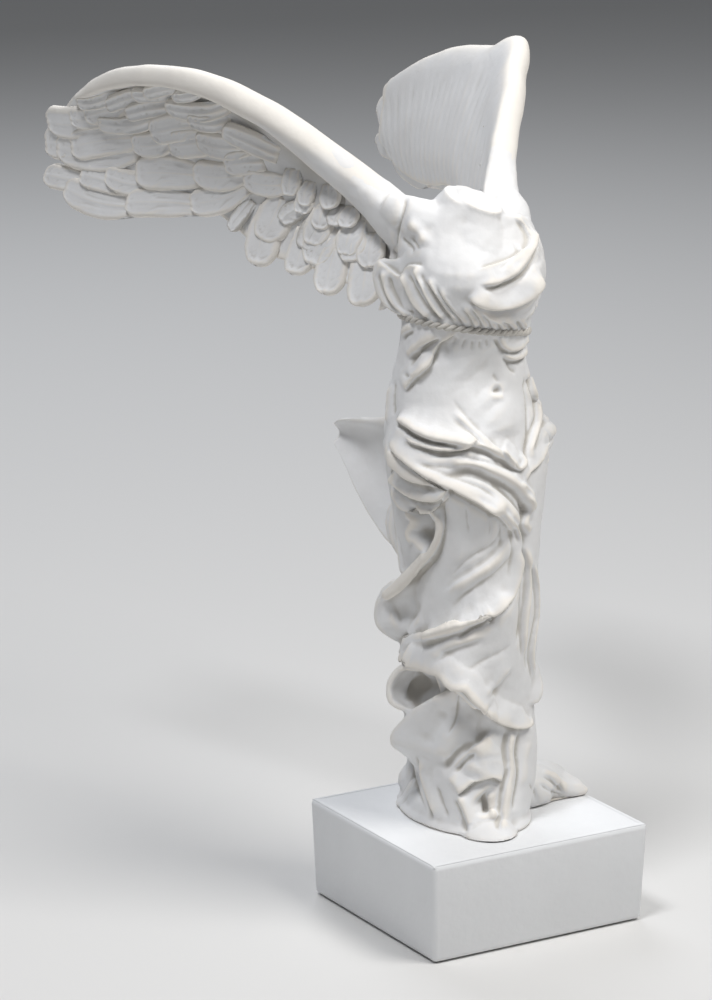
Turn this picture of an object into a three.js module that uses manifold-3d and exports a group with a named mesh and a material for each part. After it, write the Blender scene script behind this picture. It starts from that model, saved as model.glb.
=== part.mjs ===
// Winged draped figure on a square plinth: a cast stone statuette given as a trophy.
// Millimetres, +Z up, the figure faces -Y, +X is its own left.
// The origin is the centre of the plinth's underside.
import * as THREE from 'three';
import { mergeVertices } from 'three/addons/utils/BufferGeometryUtils.js';
import Module from 'manifold-3d';

const wasm = await Module();
wasm.setup();

// ---- driving dimensions -------------------------------------------------------------------
const GAP = 0.3; // glue line or clearance between neighbouring pieces
const PLINTH = { width: 85, depth: 81, bottom: 0.4, top: 35.5, corner: 1.8, edge: 1.2, flare: 0.03 };
const FELT = { width: 74, depth: 70, thick: 1.6, corner: 6 };
const STUD = { radius: 3, bottom: 4.5, top: 62, x: -2, y: 4 };
const NUT = { acrossFlats: 10, thick: 5, bottom: 5.5 };
const WASHER = { radius: 9, hole: 3.4, thick: 1.2 };
const COUNTERBORE_RADIUS = 11;
const DOWEL = { radius: 1.5 };
const FIGURE_BOTTOM = PLINTH.top + GAP;
const NECK_TOP = new THREE.Vector3(-0.5, 2, 253.6);
const NECK_TILT = new THREE.Quaternion().setFromUnitVectors(
  new THREE.Vector3(0, 0, 1),
  new THREE.Vector3(0.44, -0.22, 0.87).normalize(),
);
const LEFT_ROOT = new THREE.Vector3(23, 13, 245);

// The draped body as level sections: height, centre x and y, half width in x, half depth in y.
const BODY_LEVELS = [
  [FIGURE_BOTTOM, -5, 2, 18.5, 27.5],
  [46, -3, 3, 19.5, 25.5],
  [60, -1.5, 5, 20.5, 24.5],
  [75, -0.5, 6, 21, 24],
  [92, 0, 6, 21.5, 24],
  [110, 0, 6, 21.5, 23.5],
  [126, -0.5, 7, 22, 23],
  [140, -1, 7, 24, 23],
  [154, -1.3, 7, 26.5, 22.5],
  [168, -1.5, 7, 28.5, 22],
  [178, -2, 8, 27.5, 20.5],
  [188, -2.8, 9, 25, 18.5],
  [198, -2.6, 8.5, 23, 17],
  [208, -2, 6.5, 22.8, 17],
  [218, -1, 4.5, 24, 17.5],
  [228, -0.5, 4, 25, 17],
  [237, 0, 6, 24.2, 14.5],
  [244, 0, 7.5, 21.5, 12.5],
  [249, -0.5, 6.5, 16.5, 11],
  [253, -1, 4, 11, 9.3],
  [257, -1.5, 2.5, 9.6, 8.4],
  [264, -2, 1.5, 9.4, 8.2],
];

// Swellings of the body: direction in degrees from +X, height, how far out, spread round and up.
const SWELLINGS = [
  { name: 'left breast', at: -61, z: 228, out: 5.2, round: 26, up: 9 },
  { name: 'right breast', at: -122, z: 229, out: 5.2, round: 26, up: 9 },
  { name: 'belly', at: -84, z: 186, out: 2.2, round: 34, up: 14 },
  { name: 'mantle roll in front', at: -95, z: 158, out: 3, round: 60, up: 12 },
  { name: 'right thigh', at: -112, z: 128, out: 3.5, round: 34, up: 22 },
  { name: 'left thigh', at: -52, z: 134, out: 2, round: 28, up: 24 },
  { name: 'right knee', at: -108, z: 98, out: 2.5, round: 26, up: 14 },
  { name: 'seat', at: 92, z: 160, out: 3, round: 50, up: 18 },
  { name: 'right shoulder blade', at: 132, z: 240, out: 3.5, round: 26, up: 12 },
  { name: 'left shoulder blade', at: 48, z: 240, out: 3.5, round: 26, up: 12 },
  { name: 'arm opening', at: 146, z: 223, out: 7, round: 22, up: 8 },
  { name: 'left arm opening', at: 30, z: 223, out: 3, round: 22, up: 8 },
];

// Wing outline in the plane of the span: y and z from the root to the tip.
const WING_LEADING = [
  [12, 244], [20, 251], [28, 257.5], [38, 265.5], [48, 274], [58, 281.5], [71, 287.5],
  [88, 289.8], [108, 288.3], [128, 284.2], [147, 277.5], [163, 269.5], [176, 261],
];
const WING_TRAILING = [
  [14, 228], [22, 212.5], [33, 214.3], [42, 217.5], [50, 219], [58, 219.3], [72, 220.6],
  [84, 228], [98, 233.5], [117, 230.5], [138, 228.5], [160, 230.5], [179, 240],
];
const WING = { rootThick: 11, tipThick: 3.4, edgeThick: 2, spanSteps: 26, chordSteps: 8 };

// The flying end of the mantle behind the hips: upper rim and lower edge, root to tip.
const TAIL_UPPER = [[-9, 22, 171], [-12, 34, 171.5], [-15, 48, 169], [-18, 60, 166], [-20, 67, 160]];
const TAIL_LOWER = [[-8, 20, 118], [-14, 33, 127], [-18, 42, 137], [-20, 52, 148], [-20, 62, 154]];
const TAIL = { thick: 4.2, belly: 5, spanSteps: 14, chordSteps: 8 };

// ---- helpers ------------------------------------------------------------------------------
const clean = (geometry) => {
  const bare = geometry.index ? geometry.toNonIndexed() : geometry.clone();
  bare.deleteAttribute('normal');
  bare.deleteAttribute('uv');
  return mergeVertices(bare, 1e-4);
};

const toSolid = (geometry) => {
  const merged = clean(geometry);
  const solid = new wasm.Manifold(new wasm.Mesh({
    numProp: 3,
    vertProperties: new Float32Array(merged.attributes.position.array),
    triVerts: new Uint32Array(merged.index.array),
  }));
  return solid;
};

const toGeometry = (solid) => {
  const mesh = solid.getMesh();
  const geometry = new THREE.BufferGeometry();
  geometry.setAttribute('position', new THREE.BufferAttribute(mesh.vertProperties, 3));
  geometry.setIndex(new THREE.BufferAttribute(mesh.triVerts, 1));
  geometry.computeVertexNormals();
  return geometry;
};

// Thin slivers that a socket cuts off are dropped.
const largestBody = (solid) => (
  solid.decompose().sort((one, other) => other.volume() - one.volume())[0]
);

const reshape = (geometry, place) => {
  const position = geometry.attributes.position;
  const point = new THREE.Vector3();
  for (let i = 0; i < position.count; i += 1) {
    point.fromBufferAttribute(position, i);
    place(point);
    position.setXYZ(i, point.x, point.y, point.z);
  }
  return geometry;
};

const roundedBlock = (width, depth, corner, bevel, bottom, top) => {
  const x = width / 2 - bevel;
  const y = depth / 2 - bevel;
  const shape = new THREE.Shape();
  shape.moveTo(-x + corner, -y);
  shape.lineTo(x - corner, -y);
  shape.absarc(x - corner, -y + corner, corner, -Math.PI / 2, 0);
  shape.lineTo(x, y - corner);
  shape.absarc(x - corner, y - corner, corner, 0, Math.PI / 2);
  shape.lineTo(-x + corner, y);
  shape.absarc(-x + corner, y - corner, corner, Math.PI / 2, Math.PI);
  shape.lineTo(-x, -y + corner);
  shape.absarc(-x + corner, -y + corner, corner, Math.PI, 1.5 * Math.PI);
  const block = new THREE.ExtrudeGeometry(shape, {
    depth: top - bottom - 2 * bevel,
    bevelEnabled: bevel > 0,
    bevelThickness: bevel,
    bevelSize: bevel,
    bevelSegments: 3,
    curveSegments: 5,
  });
  return block.translate(0, 0, bottom + bevel);
};

const post = (radius, bottom, top, sides = 32) => (
  new THREE.CylinderGeometry(radius, radius, top - bottom, sides)
    .rotateX(Math.PI / 2)
    .translate(0, 0, (bottom + top) / 2)
);

const pinBetween = (start, end, radius, sides = 20) => {
  const along = new THREE.Vector3().subVectors(end, start);
  const pin = new THREE.CylinderGeometry(radius, radius, along.length(), sides);
  const turn = new THREE.Quaternion().setFromUnitVectors(
    new THREE.Vector3(0, 1, 0),
    along.clone().normalize(),
  );
  return pin.applyQuaternion(turn).translate(...start.clone().lerp(end, 0.5).toArray());
};

const mirrored = (geometry) => {
  const copy = clean(geometry).scale(-1, 1, 1);
  const index = copy.index.array;
  for (let i = 0; i < index.length; i += 3) {
    [index[i + 1], index[i + 2]] = [index[i + 2], index[i + 1]];
  }
  return copy;
};

// ---- the draped body ----------------------------------------------------------------------
const bodySpline = new THREE.CatmullRomCurve3(
  BODY_LEVELS.map(([z, x, y]) => new THREE.Vector3(x, y, z)), false, 'centripetal',
);
const halfSpline = new THREE.CatmullRomCurve3(
  BODY_LEVELS.map(([z, , , a, b]) => new THREE.Vector3(a, b, z)), false, 'centripetal',
);

const sectionAt = (z) => {
  const last = BODY_LEVELS.length - 1;
  let step = 0;
  while (step < last - 1 && BODY_LEVELS[step + 1][0] < z) step += 1;
  const t = (z - BODY_LEVELS[step][0]) / (BODY_LEVELS[step + 1][0] - BODY_LEVELS[step][0]);
  const along = (step + Math.min(Math.max(t, 0), 1)) / last;
  const centre = bodySpline.getPoint(along);
  const half = halfSpline.getPoint(along);
  return { x: centre.x, y: centre.y, a: half.x, b: half.y };
};

const wrapDegrees = (angle) => ((((angle + 180) % 360) + 360) % 360) - 180;

const bodyRadius = (angle, z, section) => {
  const across = Math.abs(Math.cos(angle)) / section.a;
  const deep = Math.abs(Math.sin(angle)) / section.b;
  let radius = (across ** 2.2 + deep ** 2.2) ** (-1 / 2.2);
  for (const bulge of SWELLINGS) {
    const turn = wrapDegrees(THREE.MathUtils.radToDeg(angle) - bulge.at) / bulge.round;
    const rise = (z - bulge.z) / bulge.up;
    radius += bulge.out * Math.exp(-(turn ** 2) - rise ** 2);
  }
  return radius;
};

const drapedBody = () => {
  const top = BODY_LEVELS.at(-1)[0];
  const tall = top - FIGURE_BOTTOM;
  const column = new THREE.CylinderGeometry(1, 1, tall, 40, 54)
    .rotateX(Math.PI / 2)
    .translate(0, 0, FIGURE_BOTTOM + tall / 2);
  return reshape(column, (point) => {
    const section = sectionAt(point.z);
    const spread = Math.min(Math.hypot(point.x, point.y), 1);
    const angle = Math.atan2(point.y, point.x);
    const radius = bodyRadius(angle, point.z, section) * spread;
    point.x = section.x + radius * Math.cos(angle);
    point.y = section.y + radius * Math.sin(angle);
  });
};

// A leaf of cloth standing off the body: a rounded plate from a root point to a tip point.
const clothLeaf = (root, tip, halfWidth, thick, up = new THREE.Vector3(0, 0, 1)) => {
  const out = new THREE.Vector3().subVectors(tip, root);
  const reach = out.length();
  out.normalize();
  const side = new THREE.Vector3().crossVectors(up, out).normalize();
  const across = new THREE.Vector3().crossVectors(out, side);
  const blob = new THREE.SphereGeometry(1, 14, 10);
  return reshape(blob, (point) => {
    const moved = root.clone().lerp(tip, 0.5)
      .addScaledVector(out, point.x * reach * 0.5)
      .addScaledVector(across, point.z * halfWidth)
      .addScaledVector(side, point.y * thick * 0.5);
    point.copy(moved);
  });
};

// Edges of the drapery that stand clear of the body.
const drapeEdges = () => [
  clothLeaf(new THREE.Vector3(-8, 12, 110), new THREE.Vector3(-26, 27, 103), 12, 9),
  clothLeaf(new THREE.Vector3(-8, 10, 80), new THREE.Vector3(-23.5, 22, 76), 8, 16),
  clothLeaf(new THREE.Vector3(-8, 8, 66), new THREE.Vector3(-23, 20, 59), 8, 16),
  clothLeaf(new THREE.Vector3(-8, 10, 140), new THREE.Vector3(-19, 29, 130), 14, 7),
  clothLeaf(new THREE.Vector3(10, 2, 172), new THREE.Vector3(28, -3, 166), 9, 12),
  clothLeaf(new THREE.Vector3(-4, 8, 48), new THREE.Vector3(-13, 30, 40), 8, 16),
];

const leftFoot = () => {
  const heel = new THREE.Vector3(8, 19, 0);
  const toe = new THREE.Vector3(43, -4, 0);
  const length = heel.distanceTo(toe);
  const out = new THREE.Vector3().subVectors(toe, heel).normalize();
  const side = new THREE.Vector3(-out.y, out.x, 0);
  const sole = FIGURE_BOTTOM;
  const ball = new THREE.SphereGeometry(1, 16, 12);
  return reshape(ball, (point) => {
    const along = (point.x + 1) / 2;
    const width = 6.2 + 2 * along;
    const height = 13 - 7.5 * along;
    const moved = heel.clone()
      .addScaledVector(out, along * length)
      .addScaledVector(side, point.y * width);
    moved.z = sole + Math.max(point.z, -0.35) * height + 0.35 * height;
    point.copy(moved);
  });
};

// ---- wings --------------------------------------------------------------------------------
// How far the wing sheet stands out from the figure's middle plane at a place along the span.
const wingReach = (y, z) => {
  const along = (y - 60) / 60;
  const above = (z - 250) / 30;
  return 37.7 + 23.2 * along + 5.2 * above
    - 3.6 * along ** 2 - 1.7 * along * above + 8.9 * above ** 2;
};

const outline = (points) => new THREE.CatmullRomCurve3(
  points.map(([y, z]) => new THREE.Vector3(0, y, z)), false, 'centripetal',
);
const leadingEdge = outline(WING_LEADING);
const trailingEdge = outline(WING_TRAILING);

const wingThickness = (span, chord) => {
  const spine = THREE.MathUtils.lerp(WING.rootThick, WING.tipThick + 2.6, span ** 0.7);
  const blade = THREE.MathUtils.lerp(5.5, WING.edgeThick, span ** 0.8);
  const rounding = Math.min(1, 0.35 + chord * 5.5);
  const bandFade = THREE.MathUtils.smoothstep(chord, 0.18, 0.42);
  const thick = THREE.MathUtils.lerp(spine, blade, bandFade);
  const edge = 1 - 0.55 * THREE.MathUtils.smoothstep(chord, 0.7, 1);
  return thick * rounding * edge;
};

const wingSheet = (grow = 0) => {
  const sheet = new THREE.BoxGeometry(1, 1, 1, WING.spanSteps, WING.chordSteps, 1);
  return reshape(sheet, (point) => {
    const span = point.x + 0.5;
    const chord = 0.5 - point.y;
    const face = -Math.sign(point.z);
    const lead = leadingEdge.getPoint(span);
    const trail = trailingEdge.getPoint(span);
    const away = lead.clone().sub(trail).normalize().multiplyScalar(grow);
    lead.add(away);
    trail.sub(away);
    const middle = lead.lerp(trail, chord);
    const { y, z } = middle;
    const slopeY = wingReach(y + 0.5, z) - wingReach(y - 0.5, z);
    const slopeZ = wingReach(y, z + 0.5) - wingReach(y, z - 0.5);
    const outward = new THREE.Vector3(-1, -slopeY, -slopeZ).normalize();
    const half = wingThickness(span, chord) / 2 + grow;
    point.set(-wingReach(y, z), y, z).addScaledVector(outward, face * half);
    if (span === 0) point.y -= grow;
  });
};

// The left wing is the right one's mirror image, set a few degrees differently at its root.
const leftWingPose = new THREE.Quaternion().setFromEuler(new THREE.Euler(0.011, 0.058, 0.023));
const toLeftWing = (geometry) => (
  mirrored(geometry)
    .translate(-LEFT_ROOT.x, -LEFT_ROOT.y, -LEFT_ROOT.z)
    .applyQuaternion(leftWingPose)
    .translate(LEFT_ROOT.x, LEFT_ROOT.y, LEFT_ROOT.z)
);

// Two steel pins hold each wing: from inside the shoulder blade out into the wing's root.
const rightDowels = {
  upper: [new THREE.Vector3(-13.5, 5, 241), new THREE.Vector3(-20.5, 24, 246)],
  lower: [new THREE.Vector3(-14, 6, 230), new THREE.Vector3(-20.5, 25, 227)],
};

const leftDowels = Object.fromEntries(
  Object.entries(rightDowels).map(([place, ends]) => [place, ends.map((end) => (
    new THREE.Vector3(-end.x, end.y, end.z)
      .sub(LEFT_ROOT)
      .applyQuaternion(leftWingPose)
      .add(LEFT_ROOT)
  ))]),
);

// ---- the mantle's flying end --------------------------------------------------------------
const tailCurve = (points) => new THREE.CatmullRomCurve3(
  points.map((place) => new THREE.Vector3(...place)), false, 'centripetal',
);
const tailUpper = tailCurve(TAIL_UPPER);
const tailLower = tailCurve(TAIL_LOWER);

const tailSheet = (grow = 0) => {
  const sheet = new THREE.BoxGeometry(1, 1, 1, TAIL.spanSteps, TAIL.chordSteps, 1);
  return reshape(sheet, (point) => {
    const span = point.x + 0.5;
    const drop = 0.5 - point.y;
    const face = -Math.sign(point.z);
    const upper = tailUpper.getPoint(span);
    const lower = tailLower.getPoint(span);
    const along = tailUpper.getTangent(span);
    const down = lower.clone().sub(upper).normalize();
    upper.addScaledVector(down, -grow);
    lower.addScaledVector(down, grow);
    const outward = new THREE.Vector3().crossVectors(along, down).normalize();
    if (outward.x > 0) outward.negate();
    const hollow = TAIL.belly * Math.sin(Math.PI * drop) * Math.sin(Math.PI * span * 0.8);
    const half = TAIL.thick / 2 * (1 - 0.35 * drop * span) + grow;
    point.copy(upper.lerp(lower, drop)).addScaledVector(outward, face * half - hollow);
    if (span === 0) point.y -= grow;
  });
};
const tailDowel = [new THREE.Vector3(-6, 8, 150), new THREE.Vector3(-11.2, 30, 151)];

// ---- solids -------------------------------------------------------------------------------
const boreFor = ([start, end]) => {
  const along = end.clone().sub(start).normalize();
  return toSolid(pinBetween(
    start.clone().addScaledVector(along, -GAP),
    end.clone().addScaledVector(along, GAP),
    DOWEL.radius + GAP,
  ));
};

const figureSolid = () => {
  let figure = toSolid(drapedBody());
  for (const edge of drapeEdges()) figure = figure.add(toSolid(edge));
  figure = figure.add(toSolid(leftFoot()));
  const neckCut = new THREE.BoxGeometry(60, 60, 30).translate(0, 0, 15)
    .applyQuaternion(NECK_TILT).translate(NECK_TOP.x, NECK_TOP.y, NECK_TOP.z);
  const belowPlinthTop = new THREE.BoxGeometry(120, 120, 40)
    .translate(0, 0, FIGURE_BOTTOM - 20);
  figure = figure.subtract(toSolid(neckCut)).subtract(toSolid(belowPlinthTop));
  figure = figure.subtract(toSolid(wingSheet(GAP)));
  figure = figure.subtract(toSolid(toLeftWing(wingSheet(GAP))));
  figure = figure.subtract(toSolid(tailSheet(GAP)));
  figure = figure.subtract(boreFor(rightDowels.upper)).subtract(boreFor(rightDowels.lower));
  figure = figure.subtract(boreFor(leftDowels.upper)).subtract(boreFor(leftDowels.lower));
  figure = figure.subtract(boreFor(tailDowel));
  const studBore = post(STUD.radius + GAP, PLINTH.top, STUD.top + GAP).translate(STUD.x, STUD.y, 0);
  return largestBody(figure.subtract(toSolid(studBore)));
};

const wingSolid = (sheet, dowels) => (
  toSolid(sheet).subtract(boreFor(dowels.upper)).subtract(boreFor(dowels.lower))
);

const plinthSolid = () => {
  const { width, depth, corner, edge, bottom, top } = PLINTH;
  const block = toSolid(reshape(
    roundedBlock(width, depth, corner, edge, bottom, top),
    (point) => {
      const wider = 1 + (PLINTH.flare * (point.z - bottom)) / (top - bottom);
      point.x *= wider;
      point.y *= wider;
    },
  ));
  const recess = roundedBlock(
    FELT.width + 2 * GAP, FELT.depth + 2 * GAP, FELT.corner, 0, -1, FELT.thick + GAP,
  );
  const nutPocket = post(COUNTERBORE_RADIUS, -1, NUT.bottom + NUT.thick + WASHER.thick + 2 * GAP)
    .translate(STUD.x, STUD.y, 0);
  const studHole = post(STUD.radius + GAP, 0, PLINTH.top + 1).translate(STUD.x, STUD.y, 0);
  return block.subtract(toSolid(recess)).subtract(toSolid(nutPocket)).subtract(toSolid(studHole));
};

const washerGeometry = () => {
  const low = NUT.bottom + NUT.thick + GAP;
  const profile = [
    [WASHER.hole, low], [WASHER.radius, low], [WASHER.radius, low + WASHER.thick],
    [WASHER.hole, low + WASHER.thick], [WASHER.hole, low],
  ].map(([r, z]) => new THREE.Vector2(r, z));
  return new THREE.LatheGeometry(profile, 36).rotateX(Math.PI / 2)
    .translate(STUD.x, STUD.y, 0);
};

const nutGeometry = () => {
  const shape = new THREE.Shape();
  const outer = NUT.acrossFlats / Math.sqrt(3);
  for (let corner = 0; corner < 6; corner += 1) {
    const angle = (corner * Math.PI) / 3;
    const x = outer * Math.cos(angle);
    const y = outer * Math.sin(angle);
    if (corner === 0) shape.moveTo(x, y);
    else shape.lineTo(x, y);
  }
  shape.closePath();
  const hole = new THREE.Path();
  hole.absarc(0, 0, STUD.radius + GAP, 0, 2 * Math.PI, true);
  shape.holes.push(hole);
  return new THREE.ExtrudeGeometry(shape, { depth: NUT.thick, bevelEnabled: false, curveSegments: 28 })
    .translate(STUD.x, STUD.y, NUT.bottom);
};

// ---- materials ----------------------------------------------------------------------------
const castStone = () => new THREE.MeshStandardMaterial({ color: 0xe6e5e2, roughness: 0.82 });
const plinthStone = () => new THREE.MeshStandardMaterial({ color: 0xdfe0e1, roughness: 0.78 });
const steel = () => new THREE.MeshStandardMaterial({ color: 0x9a9c9e, roughness: 0.35, metalness: 1 });
const felt = () => new THREE.MeshStandardMaterial({ color: 0x23402f, roughness: 1 });

// ---- the assembly -------------------------------------------------------------------------
const trophy = new THREE.Group();
const addPiece = (name, geometry, material) => {
  const mesh = new THREE.Mesh(geometry, material);
  mesh.name = name;
  trophy.add(mesh);
};

addPiece('plinth', toGeometry(plinthSolid()), plinthStone());
addPiece('felt_pad', roundedBlock(FELT.width, FELT.depth, FELT.corner, 0, 0, FELT.thick), felt());
addPiece('base_stud', post(STUD.radius, STUD.bottom, STUD.top).translate(STUD.x, STUD.y, 0), steel());
addPiece('base_washer', washerGeometry(), steel());
addPiece('base_nut', nutGeometry(), steel());
addPiece('figure_body', toGeometry(figureSolid()), castStone());
addPiece('wing_right', toGeometry(wingSolid(wingSheet(), rightDowels)), castStone());
addPiece('wing_left', toGeometry(wingSolid(toLeftWing(wingSheet()), leftDowels)), castStone());
addPiece('mantle_tail', toGeometry(toSolid(tailSheet()).subtract(boreFor(tailDowel))), castStone());
for (const [place, ends] of Object.entries(rightDowels)) {
  addPiece(`wing_dowel_right_${place}`, pinBetween(...ends, DOWEL.radius), steel());
}
for (const [place, ends] of Object.entries(leftDowels)) {
  addPiece(`wing_dowel_left_${place}`, pinBetween(...ends, DOWEL.radius), steel());
}
addPiece('tail_dowel', pinBetween(...tailDowel, DOWEL.radius), steel());

export default trophy;
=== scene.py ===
"""A winged draped figure in cast stone on a square plinth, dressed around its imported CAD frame.

Figure space is in millimetres: +X is the figure's own left, it faces -Y, and +Z is up.
Meshes are written in metres, in the frame's own space.
"""

import logging
import math
from collections.abc import Callable
from dataclasses import dataclass, field
from enum import Enum

import bpy
import numpy as np
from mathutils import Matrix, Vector, noise
from mathutils.bvhtree import BVHTree


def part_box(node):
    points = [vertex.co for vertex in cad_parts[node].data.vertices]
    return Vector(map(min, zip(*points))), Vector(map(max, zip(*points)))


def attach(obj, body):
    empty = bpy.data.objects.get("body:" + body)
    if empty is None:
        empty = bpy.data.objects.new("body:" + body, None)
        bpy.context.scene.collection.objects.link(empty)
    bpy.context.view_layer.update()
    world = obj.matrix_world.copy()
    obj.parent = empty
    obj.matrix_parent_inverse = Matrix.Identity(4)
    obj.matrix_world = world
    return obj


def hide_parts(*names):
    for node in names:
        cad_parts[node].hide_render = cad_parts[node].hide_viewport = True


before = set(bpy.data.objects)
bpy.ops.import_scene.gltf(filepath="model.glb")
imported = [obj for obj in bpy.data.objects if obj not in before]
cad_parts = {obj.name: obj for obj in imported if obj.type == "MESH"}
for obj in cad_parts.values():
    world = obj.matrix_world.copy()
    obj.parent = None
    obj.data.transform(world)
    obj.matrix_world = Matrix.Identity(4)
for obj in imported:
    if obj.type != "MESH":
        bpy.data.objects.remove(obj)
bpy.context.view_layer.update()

logging.basicConfig(level=logging.INFO, format="%(name)s: %(message)s")
LOG = logging.getLogger("statuette")

MM = 0.001
HEART = np.array([0.0, 0.0, 150.0])  # the point that every drawing and lamp is aimed at, in mm
ARM_REACH = 1369.5  # mm from the heart to the carver's eye, and to the camera
PLINTH_TOP = 36.0  # mm
Array = np.ndarray


# ---- small tools ---------------------------------------------------------------------------
def to_linear(hex_colour: str) -> tuple[float, float, float, float]:
    """Turn an sRGB hex colour into the linear colour that a shader socket takes.

    Args:
        hex_colour: Six hex digits with a leading hash.

    Returns:
        Linear red, green, blue and an alpha of one.
    """
    channels = [int(hex_colour[i:i + 2], 16) / 255 for i in (1, 3, 5)]
    linear = [c / 12.92 if c <= 0.04045 else ((c + 0.055) / 1.055) ** 2.4 for c in channels]
    return (*linear, 1.0)


def smoothstep(low: float, high: float, value: Array) -> Array:
    """Rise smoothly from 0 at low to 1 at high."""
    t = np.clip((value - low) / (high - low), 0.0, 1.0)
    return t * t * (3 - 2 * t)


def curve_through(points: list, spacing: float) -> Array:
    """Run a Catmull-Rom curve through points.

    Args:
        points: The points, each of any one length.
        spacing: Distance between samples, in the points' unit.

    Returns:
        The samples, one row each, both ends included.
    """
    knots = np.asarray(points, float)
    if len(knots) == 2:
        steps = max(2, int(np.linalg.norm(knots[1] - knots[0]) / spacing) + 1)
        return knots[0] + np.linspace(0, 1, steps)[:, None] * (knots[1] - knots[0])
    padded = np.vstack([2 * knots[0] - knots[1], knots, 2 * knots[-1] - knots[-2]])
    samples = []
    for i in range(1, len(padded) - 2):
        before, start, end, after = padded[i - 1:i + 3]
        steps = max(2, int(np.linalg.norm(end - start) / spacing) + 1)
        t = np.linspace(0, 1, steps, endpoint=False)[:, None]
        samples.append(0.5 * (
            2 * start + (end - before) * t
            + (2 * before - 5 * start + 4 * end - after) * t ** 2
            + (3 * start - before - 3 * end + after) * t ** 3
        ))
    samples.append(knots[-1:])
    return np.vstack(samples)


def resample(line: Array, count: int) -> Array:
    """Space a polyline's points evenly along it.

    Args:
        line: The polyline, one point a row.
        count: How many points to give back.

    Returns:
        The evenly spaced points, both ends included.
    """
    steps = np.linalg.norm(np.diff(line, axis=0), axis=1)
    reach = np.concatenate([[0.0], np.cumsum(steps)])
    at = np.linspace(0, reach[-1], count)
    return np.stack([np.interp(at, reach, line[:, k]) for k in range(line.shape[1])], axis=1)


class Side(Enum):
    """Where the carver stands: azimuth and elevation in degrees."""

    FRONT_RIGHT = (-32.4, 14.6)

    @property
    def axes(self) -> tuple[Array, Array, Array]:
        """Unit vectors to the carver's right, up, and from the figure to the carver."""
        azimuth, elevation = (math.radians(v) for v in self.value)
        back = np.array([
            math.sin(azimuth) * math.cos(elevation),
            -math.cos(azimuth) * math.cos(elevation),
            math.sin(elevation),
        ])
        right = np.array([math.cos(azimuth), math.sin(azimuth), 0.0])
        return right, np.cross(back, right), back

    def place(self, across: float, up: float, toward: float) -> Array:
        """Put a point in figure space.

        Args:
            across: Millimetres to the carver's right of the figure's heart.
            up: Millimetres above it, as the carver sees it.
            toward: Millimetres from the heart towards the carver.

        Returns:
            The point in figure space.
        """
        right, rise, back = self.axes
        scale = 1 - toward / ARM_REACH
        return HEART + (across * right + up * rise) * scale + toward * back

    def ray(self, across: float, up: float) -> tuple[Array, Array]:
        """The line of sight through a point on the drawing plane: its eye and direction."""
        right, rise, back = self.axes
        eye = HEART + back * ARM_REACH
        aim = across * right + up * rise - back * ARM_REACH
        return eye, aim / np.linalg.norm(aim)


class Cut(Enum):
    """The section that a chisel line leaves across itself."""

    ROLL = "round ridge"
    CREST = "sharp ridge"
    CREASE = "sharp valley"
    PLEAT = "ridge that falls steeply on its right"
    HEM = "edge of cloth lying over what is on its right"


@dataclass(frozen=True)
class Stroke:
    """One chisel line, drawn from a side in (across, up) millimetres.

    Right of a line is below it where it is drawn from the carver's left to right.
    """

    side: Side
    cut: Cut
    width: float
    height: float
    points: tuple
    lean: float = 0.0
    fade: float = 0.22


def section(cut: Cut, x: Array) -> Array:
    """Height of a cut's section.

    Args:
        cut: The kind of section.
        x: Signed distance from the line in widths, positive on its right.

    Returns:
        Height as a share of the stroke's height.
    """
    if cut is Cut.ROLL:
        return np.exp(-x ** 2)
    if cut is Cut.CREST:
        return np.exp(-np.abs(x) * 1.5)
    if cut is Cut.CREASE:
        return -np.exp(-np.abs(x) * 1.6)
    if cut is Cut.PLEAT:
        gentle = np.exp(-(x / 1.5) ** 2)
        steep = np.exp(-(x / 0.5) ** 2) - 0.5 * np.exp(-((x - 0.95) / 0.55) ** 2)
        return np.where(x <= 0, gentle, steep)
    over = np.exp(-np.abs(x) / 2.6)
    under = -0.55 * np.exp(-np.abs(x) / 1.1)
    return under + (over - under) * smoothstep(0.22, -0.22, x)


# ---- meshes --------------------------------------------------------------------------------
def new_piece(name: str, points: Array, faces: list) -> bpy.types.Object:
    """Make a mesh object.

    Args:
        name: Name of the object and its mesh.
        points: Places in millimetres, one a row.
        faces: Point numbers of each face.

    Returns:
        The object, linked to the scene.
    """
    mesh = bpy.data.meshes.new(name)
    mesh.from_pydata((np.asarray(points) * MM).tolist(), [], faces)
    mesh.validate()
    piece = bpy.data.objects.new(name, mesh)
    bpy.context.scene.collection.objects.link(piece)
    return piece


def select_only(*pieces: bpy.types.Object) -> None:
    """Deselect everything, then select these pieces and make the first one active."""
    bpy.ops.object.select_all(action="DESELECT")
    for piece in pieces:
        piece.select_set(True)
    bpy.context.view_layer.objects.active = pieces[0]


def join(name: str, pieces: list) -> bpy.types.Object:
    """Join pieces into the first and name it.

    Args:
        name: Name of the whole.
        pieces: The pieces, which are used up.

    Returns:
        The joined piece.
    """
    select_only(*pieces)
    if len(pieces) > 1:
        bpy.ops.object.join()
    piece = bpy.context.view_layer.objects.active
    piece.name = name
    piece.data.name = name
    return piece


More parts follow.
